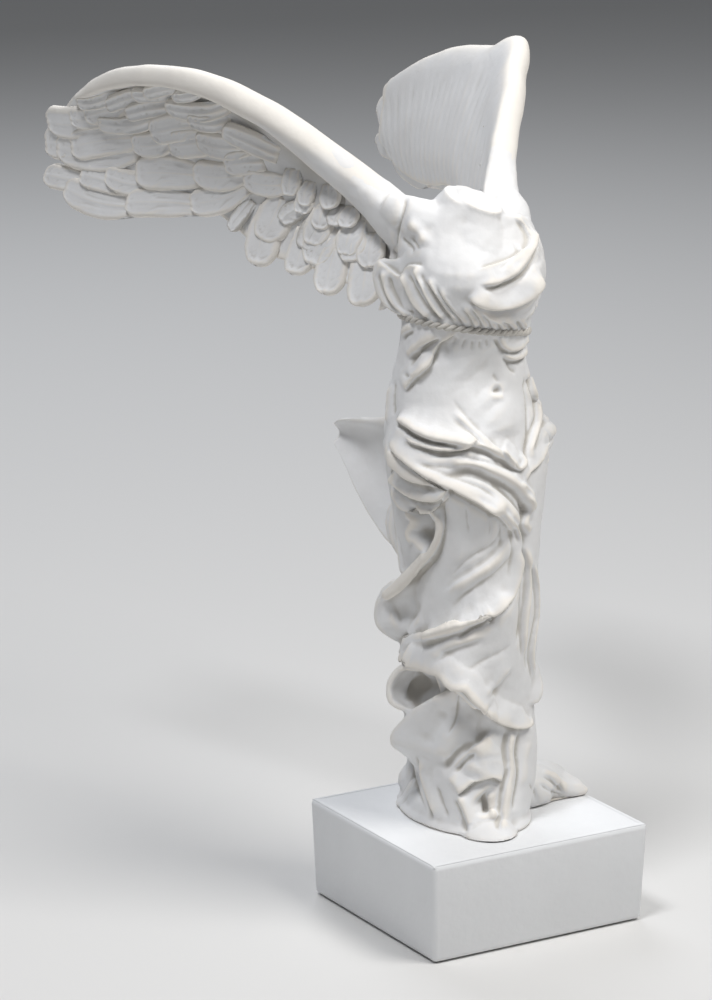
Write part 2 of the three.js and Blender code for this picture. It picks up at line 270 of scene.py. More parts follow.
def plate(corner: Callable[[Array, Array, float], Array], rows: int, columns: int) -> tuple[Array, list]:
    """A closed plate from a function of place and face.

    Args:
        corner: Takes u, v arrays in 0..1 and a face of +1 or -1, and gives points.
        rows: Steps in u.
        columns: Steps in v.

    Returns:
        Points and faces, facing out where face +1 is seen with v to the left of u.
    """
    u, v = np.meshgrid(np.linspace(0, 1, rows + 1), np.linspace(0, 1, columns + 1), indexing="ij")
    top = corner(u.ravel(), v.ravel(), 1.0)
    bottom = corner(u.ravel(), v.ravel(), -1.0)
    count = (rows + 1) * (columns + 1)
    faces = []

    def at(i: int, j: int) -> int:
        """The number of the point in row i and column j."""
        return i * (columns + 1) + j

    for i in range(rows):
        for j in range(columns):
            quad = (at(i, j), at(i + 1, j), at(i + 1, j + 1), at(i, j + 1))
            faces.append(quad)
            faces.append(tuple(count + k for k in reversed(quad)))
    rim = [at(i, 0) for i in range(rows)] + [at(rows, j) for j in range(columns)]
    rim += [at(i, columns) for i in range(rows, 0, -1)] + [at(0, j) for j in range(columns, 0, -1)]
    for a, b in zip(rim, rim[1:] + rim[:1]):
        faces.append((b, a, count + a, count + b))
    return np.vstack([top, bottom]), faces


def face_outward(piece: bpy.types.Object) -> None:
    """Merge doubles and turn every face outwards."""
    select_only(piece)
    bpy.ops.object.mode_set(mode="EDIT")
    bpy.ops.mesh.select_all(action="SELECT")
    bpy.ops.mesh.remove_doubles(threshold=0.00001)
    bpy.ops.mesh.normals_make_consistent(inside=False)
    bpy.ops.object.mode_set(mode="OBJECT")


def rounded_tube(line: Array, radius: Array, sides: int = 10) -> tuple[Array, list]:
    """A closed round tube along a line, with rounded ends.

    Args:
        line: Points along the middle.
        radius: Radius at each point.
        sides: Faces round it.

    Returns:
        Points and faces.
    """
    ahead = np.gradient(line, axis=0)
    ahead /= np.linalg.norm(ahead, axis=1)[:, None]
    side = np.cross(ahead, np.array([0.3, 0.2, 1.0]))
    side /= np.linalg.norm(side, axis=1)[:, None]
    other = np.cross(ahead, side)
    turn = np.linspace(0, 2 * np.pi, sides, endpoint=False)
    rings = (
        line[:, None, :]
        + radius[:, None, None] * (
            np.cos(turn)[None, :, None] * side[:, None, :]
            + np.sin(turn)[None, :, None] * other[:, None, :]
        )
    )
    points = rings.reshape(-1, 3)
    faces = []
    for i in range(len(line) - 1):
        for j in range(sides):
            k = (j + 1) % sides
            faces.append((i * sides + j, i * sides + k, (i + 1) * sides + k, (i + 1) * sides + j))
    faces.append(tuple(range(sides - 1, -1, -1)))
    faces.append(tuple((len(line) - 1) * sides + j for j in range(sides)))
    return points, faces


class Clay:
    """A dense closed mesh that chisel lines are cut into."""

    def __init__(self, piece: bpy.types.Object) -> None:
        """Take hold of a piece's mesh."""
        self.piece = piece
        mesh = piece.data
        count = len(mesh.vertices)
        places = np.empty(count * 3)
        mesh.vertices.foreach_get("co", places)
        self.places = places.reshape(-1, 3) / MM
        ends = np.empty(len(mesh.edges) * 2, int)
        mesh.edges.foreach_get("vertices", ends)
        self.ends = ends.reshape(-1, 2)
        self.valence = np.bincount(self.ends.ravel(), minlength=count).astype(float)
        self.settle()

    def settle(self) -> None:
        """Write the places to the mesh, and read its normals again."""
        mesh = self.piece.data
        mesh.vertices.foreach_set("co", (self.places * MM).ravel())
        mesh.update()
        normals = np.empty(len(mesh.vertices) * 3)
        mesh.vertex_normals.foreach_get("vector", normals)
        self.normals = normals.reshape(-1, 3)

    def average(self, values: Array) -> Array:
        """Average over each vertex's neighbours.

        Args:
            values: One row a vertex.

        Returns:
            The mean of the neighbours' rows, for each vertex.
        """
        total = np.empty_like(values)
        a, b = self.ends.T
        for k in range(values.shape[1]):
            total[:, k] = (
                np.bincount(a, values[b, k], len(values)) + np.bincount(b, values[a, k], len(values))
            )
        return total / self.valence[:, None]

    def smooth(self, rounds: int, strength: float, keep: float = 0.0) -> None:
        """Relax the surface.

        Args:
            rounds: How many times.
            strength: Share of the way to the neighbours' mean each time.
            keep: How much of each round is taken back, which keeps the volume.
        """
        for _ in range(rounds):
            self.places += strength * (self.average(self.places) - self.places)
            if keep:
                self.places -= keep * (self.average(self.places) - self.places)
        self.settle()

    def tree(self) -> BVHTree:
        """A search tree of the surface as it is now."""
        mesh = self.piece.data
        faces = [tuple(p.vertices) for p in mesh.polygons]
        return BVHTree.FromPolygons(self.places.tolist(), faces)

    def throw(self, tree: BVHTree, side: Side, points: tuple) -> tuple[Array, Array]:
        """Throw a drawn line onto the surface.

        Args:
            tree: The surface to land on.
            side: Where it is drawn from.
            points: (across, up) pairs.

        Returns:
            Places and normals along the line where it lands.
        """
        landed, facing = [], []
        for across, up in curve_through(points, 0.8):
            eye, aim = side.ray(across, up)
            hit, normal, _, _ = tree.ray_cast(Vector(eye), Vector(aim))
            if hit is not None:
                landed.append(hit)
                facing.append(normal)
        return np.array(landed), np.array(facing)

    def carve(self, strokes: list) -> None:
        """Cut a group of chisel lines, all thrown on the surface as it is now.

        Args:
            strokes: The lines. One that misses the surface is reported and left out.
        """
        tree = self.tree()
        moves = np.zeros_like(self.places)
        for stroke in strokes:
            line, facing = self.throw(tree, stroke.side, stroke.points)
            if len(line) < 3:
                LOG.warning("a stroke at %s missed", stroke.points[0])
                continue
            self.cut(stroke, line, facing, moves)
        self.places += moves
        self.settle()

    def cut(self, stroke: Stroke, line: Array, facing: Array, moves: Array) -> None:
        """Add one chisel line's moves.

        Args:
            stroke: The line's cut, width, height, lean and fade.
            line: Its places on the surface.
            facing: The surface's normals there.
            moves: Every vertex's move so far, added to here.
        """
        reach = 4.2 * stroke.width
        low, high = line.min(0) - reach, line.max(0) + reach
        near = np.nonzero(np.all((self.places > low) & (self.places < high), axis=1))[0]
        if len(near) == 0:
            return
        here = self.places[near]
        gaps = np.full(len(near), 1e9)
        along = np.zeros(len(near))
        offset = np.zeros((len(near), 3))
        ahead = np.zeros((len(near), 3))
        outward = np.zeros((len(near), 3))
        starts, spans = line[:-1], np.diff(line, axis=0)
        lengths = np.linalg.norm(spans, axis=1)
        run = np.concatenate([[0.0], np.cumsum(lengths)])
        for i, (start, span) in enumerate(zip(starts, spans)):
            if lengths[i] < 1e-6 or lengths[i] > 6:
                continue
            t = np.clip((here - start) @ span / lengths[i] ** 2, 0, 1)
            away = here - (start + t[:, None] * span)
            gap = np.linalg.norm(away, axis=1)
            closer = gap < gaps
            gaps[closer] = gap[closer]
            along[closer] = (run[i] + t[closer] * lengths[i]) / run[-1]
            offset[closer] = away[closer]
            ahead[closer] = span / lengths[i]
            outward[closer] = facing[i]
        right = np.cross(ahead, outward)
        sign = np.where(np.einsum("ij,ij->i", right, offset) >= 0, 1.0, -1.0)
        x = sign * gaps / stroke.width
        share = section(stroke.cut, x) * (1 - smoothstep(3.2, 4.2, np.abs(x)))
        share *= smoothstep(0.0, stroke.fade, along) * smoothstep(0.0, stroke.fade, 1 - along)
        facing_same = np.einsum("ij,ij->i", self.normals[near], outward)
        share *= smoothstep(-0.1, 0.35, facing_same)
        rise = stroke.height * share
        moves[near] += rise[:, None] * self.normals[near]
        if stroke.lean:
            moves[near] += (stroke.lean * np.abs(rise) * (share > 0))[:, None] * right

    def roughen(self, size: float, depth: float, seed: float) -> None:
        """Add soft unevenness.

        Args:
            size: Millimetres across one hump.
            depth: How high it stands.
            seed: Which part of the noise is used.
        """
        shift = Vector((seed, seed * 2.0, -seed))
        push = np.array([noise.noise(Vector(p) / size + shift) for p in self.places])
        self.places += (depth * push)[:, None] * self.normals
        self.settle()

    def press(self, centre: tuple, reach: tuple, move: tuple) -> None:
        """Push or pull a soft round area.

        Args:
            centre: Its middle.
            reach: Its half sizes along x, y and z.
            move: How far its middle goes.
        """
        away = (self.places - np.array(centre)) / np.array(reach)
        share = np.exp(-2.2 * np.einsum("ij,ij->i", away, away))
        self.places += share[:, None] * np.array(move, float)
        self.settle()

    def mark_crests(self, rounds: int, name: str = "crest") -> None:
        """Store how far each place stands proud of its surroundings, as a colour attribute that the stone
        turns into cream crests and painted shade in hollows.

        Args:
            rounds: How many times the surroundings are averaged, so how wide they are.
            name: Name of the attribute.
        """
        wide = self.places.copy()
        for _ in range(rounds):
            wide = self.average(wide)
        proud = np.einsum("ij,ij->i", self.places - wide, self.normals)
        proud = np.clip(0.5 + proud * 1.1, 0, 1)
        layer = self.piece.data.color_attributes.new(name, "FLOAT_COLOR", "POINT")
        colours = np.ones((len(proud), 4))
        colours[:, :3] = proud[:, None]
        layer.data.foreach_set("color", colours.ravel())


def remesh(piece: bpy.types.Object, voxel: float) -> None:
    """Fuse a piece's overlapping shells into one even surface of this voxel size in mm."""
    select_only(piece)
    piece.data.remesh_voxel_size = voxel * MM
    piece.data.remesh_voxel_adaptivity = 0.0
    bpy.ops.object.voxel_remesh()


def shade_smooth(piece: bpy.types.Object) -> None:
    """Shade a piece smooth."""
    piece.data.polygons.foreach_set("use_smooth", [True] * len(piece.data.polygons))


def cad_copy(node: str, name: str) -> bpy.types.Object:
    """Copy a CAD node's mesh, with its doubled points merged.

    Args:
        node: Name of the node in the frame.
        name: Name of the copy.

    Returns:
        The copy, without materials.
    """
    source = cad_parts[node]
    piece = bpy.data.objects.new(name, source.data.copy())
    bpy.context.scene.collection.objects.link(piece)
    piece.data.materials.clear()
    face_outward(piece)
    return piece


# ---- finishes ------------------------------------------------------------------------------
def add_node(tree: bpy.types.NodeTree, kind: str, settings: dict, links: dict) -> bpy.types.Node:
    """Add a shader node.

    Args:
        tree: The material's node tree.
        kind: The node's type name.
        settings: Attribute values, or socket values where the key is a socket's name or number.
        links: Input socket name or number to the output socket that feeds it.

    Returns:
        The node.
    """
    node = tree.nodes.new(kind)
    for key, value in settings.items():
        if isinstance(key, str) and hasattr(node, key):
            setattr(node, key, value)
        else:
            node.inputs[key].default_value = value
    for key, source in links.items():
        tree.links.new(source, node.inputs[key])
    return node


def new_material(name: str) -> tuple[bpy.types.Material, bpy.types.NodeTree]:
    """An empty node material with its output still to be linked."""
    material = bpy.data.materials.new(name)
    material.use_nodes = True
    material.node_tree.nodes.clear()
    return material, material.node_tree


def ramp(node: bpy.types.Node, stops: list) -> None:
    """Set a colour ramp's stops from (place, colour) pairs."""
    elements = node.color_ramp.elements
    while len(elements) < len(stops):
        elements.new(0.5)
    for element, (place, colour) in zip(elements, stops):
        element.position = place
        element.color = colour


@dataclass(frozen=True)
class CastStone:
    """Marble powder cast in resin and rubbed matt: chalky, with cream handling on its crests and painted
    shade darkening its hollows.
    """

    name: str
    body: str = "#e9e9e9"
    crest: str = "#f3eadb"
    second: str = "#e2e1e0"
    # painted shade: the darker colour mixed into hollows, where shade falls
    hollow: str = "#bcb7ae"
    mottling: float = 14.0
    grit: float = 0.45
    roughness: float = 0.62
    use_crests: bool = True

    def build(self) -> bpy.types.Material:
        """Make the material."""
        material, tree = new_material(self.name)
        place = add_node(tree, "ShaderNodeTexCoord", {}, {}).outputs["Object"]
        per_metre = 1 / MM
        cloud = add_node(tree, "ShaderNodeTexNoise", {
            "Scale": per_metre / self.mottling, "Detail": 3.0, "Roughness": 0.55,
        }, {"Vector": place})
        tone = add_node(tree, "ShaderNodeValToRGB", {}, {"Fac": cloud.outputs["Fac"]})
        ramp(tone, [(0.35, to_linear(self.body)), (0.75, to_linear(self.second))])
        colour = tone.outputs["Color"]
        if self.use_crests:
            proud = add_node(tree, "ShaderNodeVertexColor", {"layer_name": "crest"}, {})
            worn = add_node(tree, "ShaderNodeMapRange", {
                1: 0.58, 2: 0.98, 3: 0.0, 4: 0.5,
            }, {0: proud.outputs["Color"]})
            creamy = add_node(tree, "ShaderNodeMix", {
                "data_type": "RGBA", 7: to_linear(self.crest),
            }, {0: worn.outputs["Result"], 6: colour})
            # Painted shade: the further a place lies below its surroundings, the more of the hollow colour it
            # takes.
            deep = add_node(tree, "ShaderNodeMapRange", {
                1: 0.44, 2: 0.0, 3: 0.0, 4: 0.8,
            }, {0: proud.outputs["Color"]})
            painted_shade = add_node(tree, "ShaderNodeMix", {
                "data_type": "RGBA", 7: to_linear(self.hollow),
            }, {0: deep.outputs["Result"], 6: creamy.outputs[2]})
            colour = painted_shade.outputs[2]
        grain = add_node(tree, "ShaderNodeTexNoise", {
            "Scale": per_metre / self.grit, "Detail": 2.0,
        }, {"Vector": place})
        swell = add_node(tree, "ShaderNodeTexNoise", {
            "Scale": per_metre / 3.2, "Detail": 2.0,
        }, {"Vector": place})
        fine = add_node(tree, "ShaderNodeBump", {"Strength": 0.16, "Distance": 0.05 * MM}, {
            "Height": grain.outputs["Fac"],
        })
        uneven = add_node(tree, "ShaderNodeBump", {"Strength": 0.5, "Distance": 0.3 * MM}, {
            "Height": swell.outputs["Fac"], "Normal": fine.outputs["Normal"],
        })
        sheen = add_node(tree, "ShaderNodeMapRange", {
            1: 0.3, 2: 0.7, 3: self.roughness - 0.06, 4: self.roughness + 0.1,
        }, {0: cloud.outputs["Fac"]})
        shader = add_node(tree, "ShaderNodeBsdfPrincipled", {"IOR": 1.48}, {
            "Base Color": colour,
            "Roughness": sheen.outputs["Result"],
            "Normal": uneven.outputs["Normal"],
        })
        add_node(tree, "ShaderNodeOutputMaterial", {}, {"Surface": shader.outputs["BSDF"]})
        return material


@dataclass(frozen=True)
class PlainMaterial:
    """A finish for the hidden hardware: zinc-plated steel or pressed felt."""

    name: str
    colour: str
    second: str
    metallic: float
    roughness: float
    grain: float
    depth: float

    def build(self) -> bpy.types.Material:
        """Make the material."""
        material, tree = new_material(self.name)
        place = add_node(tree, "ShaderNodeTexCoord", {}, {}).outputs["Object"]
        speckle = add_node(tree, "ShaderNodeTexNoise", {
            "Scale": 1 / (self.grain * MM), "Detail": 4.0,
        }, {"Vector": place})
        tone = add_node(tree, "ShaderNodeValToRGB", {}, {"Fac": speckle.outputs["Fac"]})
        ramp(tone, [(0.3, to_linear(self.colour)), (0.7, to_linear(self.second))])
        bump = add_node(tree, "ShaderNodeBump", {"Strength": 0.5, "Distance": self.depth * MM}, {
            "Height": speckle.outputs["Fac"],
        })
        shader = add_node(tree, "ShaderNodeBsdfPrincipled", {
            "Metallic": self.metallic, "Roughness": self.roughness,
        }, {"Base Color": tone.outputs["Color"], "Normal": bump.outputs["Normal"]})
        add_node(tree, "ShaderNodeOutputMaterial", {}, {"Surface": shader.outputs["BSDF"]})
        return material


# ---- the figure ----------------------------------------------------------------------------
@dataclass(frozen=True)
class Flare:
    """Cloth standing off the figure: a rim and a root, in (across, up, toward) millimetres."""

    side: Side
    rim: tuple
    root: tuple
    thick: float = 3.0
    belly: float = 0.0
    bead: float = 1.3

    def shells(self, name: str) -> list:
        """Build the cloth and its rolled rim as closed shells.

        Args:
            name: Name of the cloth; its rim has the same name with _rim after it.

        Returns:
            The cloth and the rim.
        """
        rim = resample(np.array([self.side.place(*p) for p in curve_through(self.rim, 1.0)]), 41)
        root = resample(np.array([self.side.place(*p) for p in curve_through(self.root, 1.0)]), 41)
        _, _, back = self.side.axes

        def corner(u: Array, v: Array, face: float) -> Array:
            """Place a point of the cloth."""
            row = np.round(u * 40).astype(int)
            middle = root[row] + v[:, None] * (rim[row] - root[row])
            hollow = self.belly * np.sin(np.pi * np.clip(v, 0, 1)) * np.sin(np.pi * u) ** 0.6
            half = self.thick / 2 * (1.25 - 0.5 * v)
            return middle + (face * half - hollow)[:, None] * back

        points, faces = plate(corner, 40, 12)
        cloth = new_piece(name, points, faces)
        face_outward(cloth)
        ends = np.sin(np.linspace(0, np.pi, 41)) ** 0.4
        tube, tube_faces = rounded_tube(rim, self.bead * (0.55 + 0.45 * ends))
        bead = new_piece(name + "_rim", tube, tube_faces)
        face_outward(bead)
        return [cloth, bead]


@dataclass(frozen=True)
class Blob:
    """A rounded lump of clay: centre and half sizes in figure space, in millimetres."""

    centre: tuple
    half: tuple

    def shell(self, name: str) -> bpy.types.Object:
        """Build it as a closed ball stretched along the figure's axes."""
        bpy.ops.object.select_all(action="DESELECT")
        bpy.ops.mesh.primitive_uv_sphere_add(
            segments=28, ring_count=18, radius=1.0, location=[c * MM for c in self.centre],
        )
        ball = bpy.context.active_object
        ball.name = name
        ball.scale = [h * MM for h in self.half]
        bpy.ops.object.transform_apply(location=True, rotation=False, scale=True)
        return ball


def line(cut: Cut, width: float, height: float, *points: tuple,
         lean: float = 0.0, fade: float = 0.22) -> Stroke:
    """A chisel line drawn from the front right."""
    return Stroke(Side.FRONT_RIGHT, cut, width, height, points, lean, fade)


FLARES = {
    "open_mantle": Flare(
        Side.FRONT_RIGHT,
        rim=(
            (-16.5, -5, 15), (-13.5, -9.5, 17), (-14, -14.5, 15), (-16.5, -19.5, 11),
            (-21, -24.5, 5), (-27.5, -31.5, -1), (-33.5, -36.5, -6), (-35, -40.5, -8),
            (-34, -45.5, -9), (-30, -48.8, -12), (-26, -50.8, -14),
        ),
        root=((-8.5, -8, 8), (-7.5, -20.5, 6), (-8.5, -33, 4), (-10, -48.5, 6)),
        thick=3.0, belly=3.5, bead=1.5,
    ),
    "overfold": Flare(
        Side.FRONT_RIGHT,
        rim=(
            (-27.5, -54, -11), (-24, -58, -8), (-18, -60, -1), (-13, -62, 3), (-9.5, -65.8, 4.5),
            (-5.4, -67.4, 6), (-0.4, -73, 3.5), (5.5, -77, -3),
        ),
        root=((-26.5, -50.8, -12), (-20, -49.3, -4), (-12, -47.5, 4), (-4, -44.3, 8), (3, -42, 9)),
        thick=4.4, belly=-1.6, bead=1.2,
    ),
    "upper_scallop": Flare(
        Side.FRONT_RIGHT,
        rim=(
            (-15, -61.5, -3), (-19.5, -59.5, -4), (-24.5, -59, -5), (-28.3, -61.5, -6),
            (-30.5, -66, -7), (-30, -71, -7), (-26.5, -73.5, -7), (-22.5, -74.5, -6),
        ),
        root=((-14, -62, -15), (-12, -68, -16), (-13, -75, -15)),
        thick=2.8, belly=3.0, bead=1.3,
    ),
    "lower_scallop": Flare(
        Side.FRONT_RIGHT,
        rim=(
            (-8.8, -67.4, 2.5), (-14.3, -69.9, 0.5), (-19, -72.5, -3), (-23.2, -75.8, -6),
            (-28.4, -81.8, -11), (-29.4, -85.7, -13), (-26.7, -88.3, -15), (-24.5, -92, -18),
            (-23.5, -97, -22),
        ),
        root=((-4, -69, 0), (0, -79, -3), (-3, -91, -5), (-9, -99, -7)),
        thick=4.0, belly=-1.6, bead=1.2,
    ),
    "side_point": Flare(
        Side.FRONT_RIGHT,
        rim=((19.5, -57, -15), (21.4, -66.5, -14), (19.3, -71.5, -13)),
        root=((14, -57, -11), (14, -66, -11), (15, -72, -11)),
        thick=3.2, bead=0.9,
    ),
    "hanging_end": Flare(
        Side.FRONT_RIGHT,
        rim=(
            (-29, -3, -3), (-27.5, -10.5, -6), (-27, -19.5, -8), (-26.5, -26, -8), (-25, -27, -6),
            (-23, -24, -3),
        ),
        root=((-17.5, -3, -2), (-16.5, -12, -2), (-18.5, -23, 0)),
        thick=3.0, bead=1.2,
    ),
    "arm_drape": Flare(
        Side.FRONT_RIGHT,
        rim=(
            (-32.5, 80, 20), (-35.7, 78.5, 19), (-36.2, 73.8, 18), (-34.5, 68, 18),
            (-32, 64.3, 19), (-28, 61.3, 21),
        ),
        root=((-26, 80, 23), (-25, 70, 25), (-23, 61, 24)),
        thick=4.4, belly=1.5, bead=1.3,
    ),
    "hip_point": Flare(
        Side.FRONT_RIGHT,
        rim=(
            (16, 40, -8), (20, 28.5, -10), (23.5, 19.5, -12), (22.5, 16, -11), (22, 10.5, -10),
            (18, 6.5, -4),
        ),
        root=((11.5, 39, -10), (12.5, 24.5, -10), (12.5, 7, -8)),
        thick=4.0, bead=1.2,
    ),
}

PRESSES = (
    ((-25, 15, 50), (12, 14, 13), (5.2, -3.3, 0)),
    ((-19, 22, 60), (9, 9, 10), (3, -3, 0)),
    ((11, -15, 60), (9, 9, 26), (2.4, -1.5, 0)),
)

LUMPS = {
    "foot": Blob((27, 5, 40), (13, 9, 7.5)),
    "instep": Blob((19, -1, 42), (12, 9, 8)),
    "terrace": Blob((-2, 1, 35), (19, 22.5, 4.2)),
    "terrace_front": Blob((-9, -20, 35.5), (9.5, 11, 5)),
}

# Most point lists from MASSES to HEMS were printed by another program and pasted in here.
# They break the rule against tables made by another program, and should be rebuilt from driving
# dimensions before this file is taken as an example.
MASSES = (
    line(
        Cut.ROLL, 7.5, 3.2, (-32.5, 17), (-26, 12), (-17.5, 6.5), (-8.5, 1.5), (0, -3),
        (7, -7.5), (13, -11.5), fade=0.12,
    ),
    line(Cut.ROLL, 5.5, 2.2, (-28.5, 25.5), (-22.5, 21), (-11.5, 18), (-1.5, 16.5), (8.5, 10.5), fade=0.15),
    line(Cut.ROLL, 6, 2, (-19, -49.5), (-11.5, -47.5), (-3.5, -45), (5, -41), (11, -34.5), fade=0.15),
    line(Cut.ROLL, 6, 2.4, (-4.5, 68.5), (1.5, 65), (8, 64.5), (14.5, 67), (20, 72), fade=0.15),
    line(
        Cut.ROLL, 5, 1.8, (-27, -53.5), (-21.5, -57), (-13.5, -59.5), (-5, -66), (3.5, -74.5),
        (13, -78.5), fade=0.15,
    ),
    line(Cut.ROLL, 7, -2.2, (-3.5, -70.5), (-1.5, -79.5), (2.5, -87), fade=0.3),
    line(Cut.ROLL, 4.5, -1.8, (-20, 46), (-16, 49), (-8.5, 50.5), fade=0.3),
    line(Cut.ROLL, 9, -1.6, (-4.5, 44.5), (0, 39), (4.5, 33), fade=0.35),
    line(Cut.ROLL, 8, 1.4, (3, 30), (7, 24.5), (8.5, 18.5), fade=0.35),
    line(Cut.ROLL, 4.2, -5.0, (-23.5, -64.5), (-18.5, -66.5), (-13.5, -65.5), fade=0.25),
    line(Cut.ROLL, 4.5, -2.2, (0, -86.5), (-5.5, -91.5), (-9.5, -98), fade=0.3),
    line(Cut.ROLL, 5, 2.0, (6, -85), (1, -92), (-1.5, -97.5), fade=0.3),
    line(Cut.ROLL, 4, -1.6, (-10, -73), (-15, -80), (-19, -88), fade=0.3),
    line(Cut.ROLL, 4.5, 1.6, (-2, -75), (-8, -83), (-14.5, -92), fade=0.3),
    line(Cut.ROLL, 3.2, -5.0, (0.5, -103), (3, -106), (4, -110.5), fade=0.25),
)
BODICE = (
    line(
        Cut.HEM, 1.6, 1.5, (10, 95.5), (13.5, 92), (15.5, 88), (14.5, 84), (9.5, 80.5),
        (4.5, 78.5), (-2, 76.5), lean=0.3, fade=0.12,
    ),
    line(
        Cut.PLEAT, 1.7, 1.7, (-1.5, 72.5), (3, 72), (8, 74), (13, 77), (16.5, 83), (17.5, 87.5),
        (16, 92), lean=0.4, fade=0.12,
    ),
    line(
        Cut.PLEAT, 2.4, 2.3, (-5, 68.5), (0, 65.5), (5, 64.5), (11.5, 65.5), (17.5, 69),
        (20.5, 73.5), lean=0.5, fade=0.12,
    ),
    line(Cut.CREASE, 1.2, 1.4, (0, 63.5), (5, 62.5), (11.5, 63.5), (17.5, 66), fade=0.2),
    line(Cut.ROLL, 1.5, 1.1, (4.5, 62), (8.5, 60.5), (14.5, 61), (18.5, 64), fade=0.2),
    line(Cut.PLEAT, 1, 1, (10.5, 87), (13, 82), (8.5, 77.5), (5, 75), fade=0.3),
    line(Cut.CREASE, 0.9, 1, (1.5, 71), (7, 71), (13, 75), (16.5, 80.5), fade=0.25),
    line(Cut.PLEAT, 0.9, 1.5, (-6.5, 64), (-3.5, 61), (-1.5, 57), fade=0.25),
    line(Cut.PLEAT, 0.9, 1.5, (-4, 64.5), (-0.5, 61), (1.5, 56.5), fade=0.25),
    line(Cut.PLEAT, 0.9, 1.4, (-1, 63.5), (2.5, 60.5), (5, 56), fade=0.25),
    line(Cut.PLEAT, 0.9, 1.4, (2.5, 61.5), (6, 59), (8.5, 56), fade=0.25),
    line(Cut.PLEAT, 0.9, 1.4, (7, 60.5), (10, 58.5), (12, 56), fade=0.25),
    line(Cut.PLEAT, 0.9, 1.2, (12, 60.5), (14, 58.5), (15, 56.5), fade=0.25),
    line(Cut.CREST, 1.3, 1.2, (18, 65.5), (19.5, 61), (17.5, 58), fade=0.25),
    line(Cut.CREASE, 1.6, 2.4, (-26, 102), (-27.5, 97), (-29, 91.5), (-30, 85.5), (-30, 80.5), fade=0.15),
    line(Cut.ROLL, 2, 1.7, (-26.5, 93), (-23, 91), (-20.5, 88), (-20, 84), fade=0.25),
    line(Cut.CREASE, 1.5, 1.8, (-28.5, 88), (-27, 86.5), (-24.5, 84), (-24, 81.5), fade=0.2),
    line(Cut.CREASE, 1.2, 1.3, (-25, 88), (-23, 85.5), (-21, 83), fade=0.3),
    line(
        Cut.HEM, 1.3, 1.3, (-20, 77.5), (-23, 78), (-25.5, 77.5), (-27, 75), (-28.5, 74.5),
        (-31, 76.5), (-35.5, 79.5), lean=0.3, fade=0.08,
    ),
    line(Cut.PLEAT, 1.7, 1.7, (-34, 76.5), (-32.5, 70), (-29.5, 64.5), (-24.5, 60.5), lean=0.2, fade=0.12),
    line(Cut.CREASE, 1.4, 1.5, (-31.5, 75), (-30, 69), (-26.5, 63.5), (-22.5, 61), fade=0.15),
    line(Cut.PLEAT, 1.3, 2.0, (-26.5, 75), (-25, 70.5), (-22, 64.5), (-17.5, 60), lean=0.2, fade=0.1),
    line(Cut.CREASE, 1.1, 1.6, (-25, 75.5), (-23, 70.5), (-19.5, 64.5), (-15, 60), fade=0.12),
    line(Cut.PLEAT, 1.3, 1.9, (-22.8, 77), (-20, 71), (-16.5, 64.5), (-12.5, 59.5), lean=0.2, fade=0.1),
    line(Cut.CREASE, 1, 1.5, (-21, 76), (-18.5, 70.5), (-14.5, 64.5), (-10.5, 59.5), fade=0.12),
    line(Cut.PLEAT, 1.1, 1.4, (-18.8, 74), (-15.5, 68.5), (-12, 63.5), (-8, 58.5), fade=0.15),
    line(Cut.CREASE, 0.9, 1.2, (-17, 73), (-13.8, 67.5), (-10.2, 62.5), (-6.5, 58.5), fade=0.2),
    line(Cut.PLEAT, 1, 1.1, (-15, 71), (-11.5, 65.5), (-8, 61.5), (-4.5, 57.5), fade=0.2),
    line(Cut.CREASE, 0.8, 0.9, (-13, 69), (-9.5, 64), (-6, 59.5), fade=0.25),
)
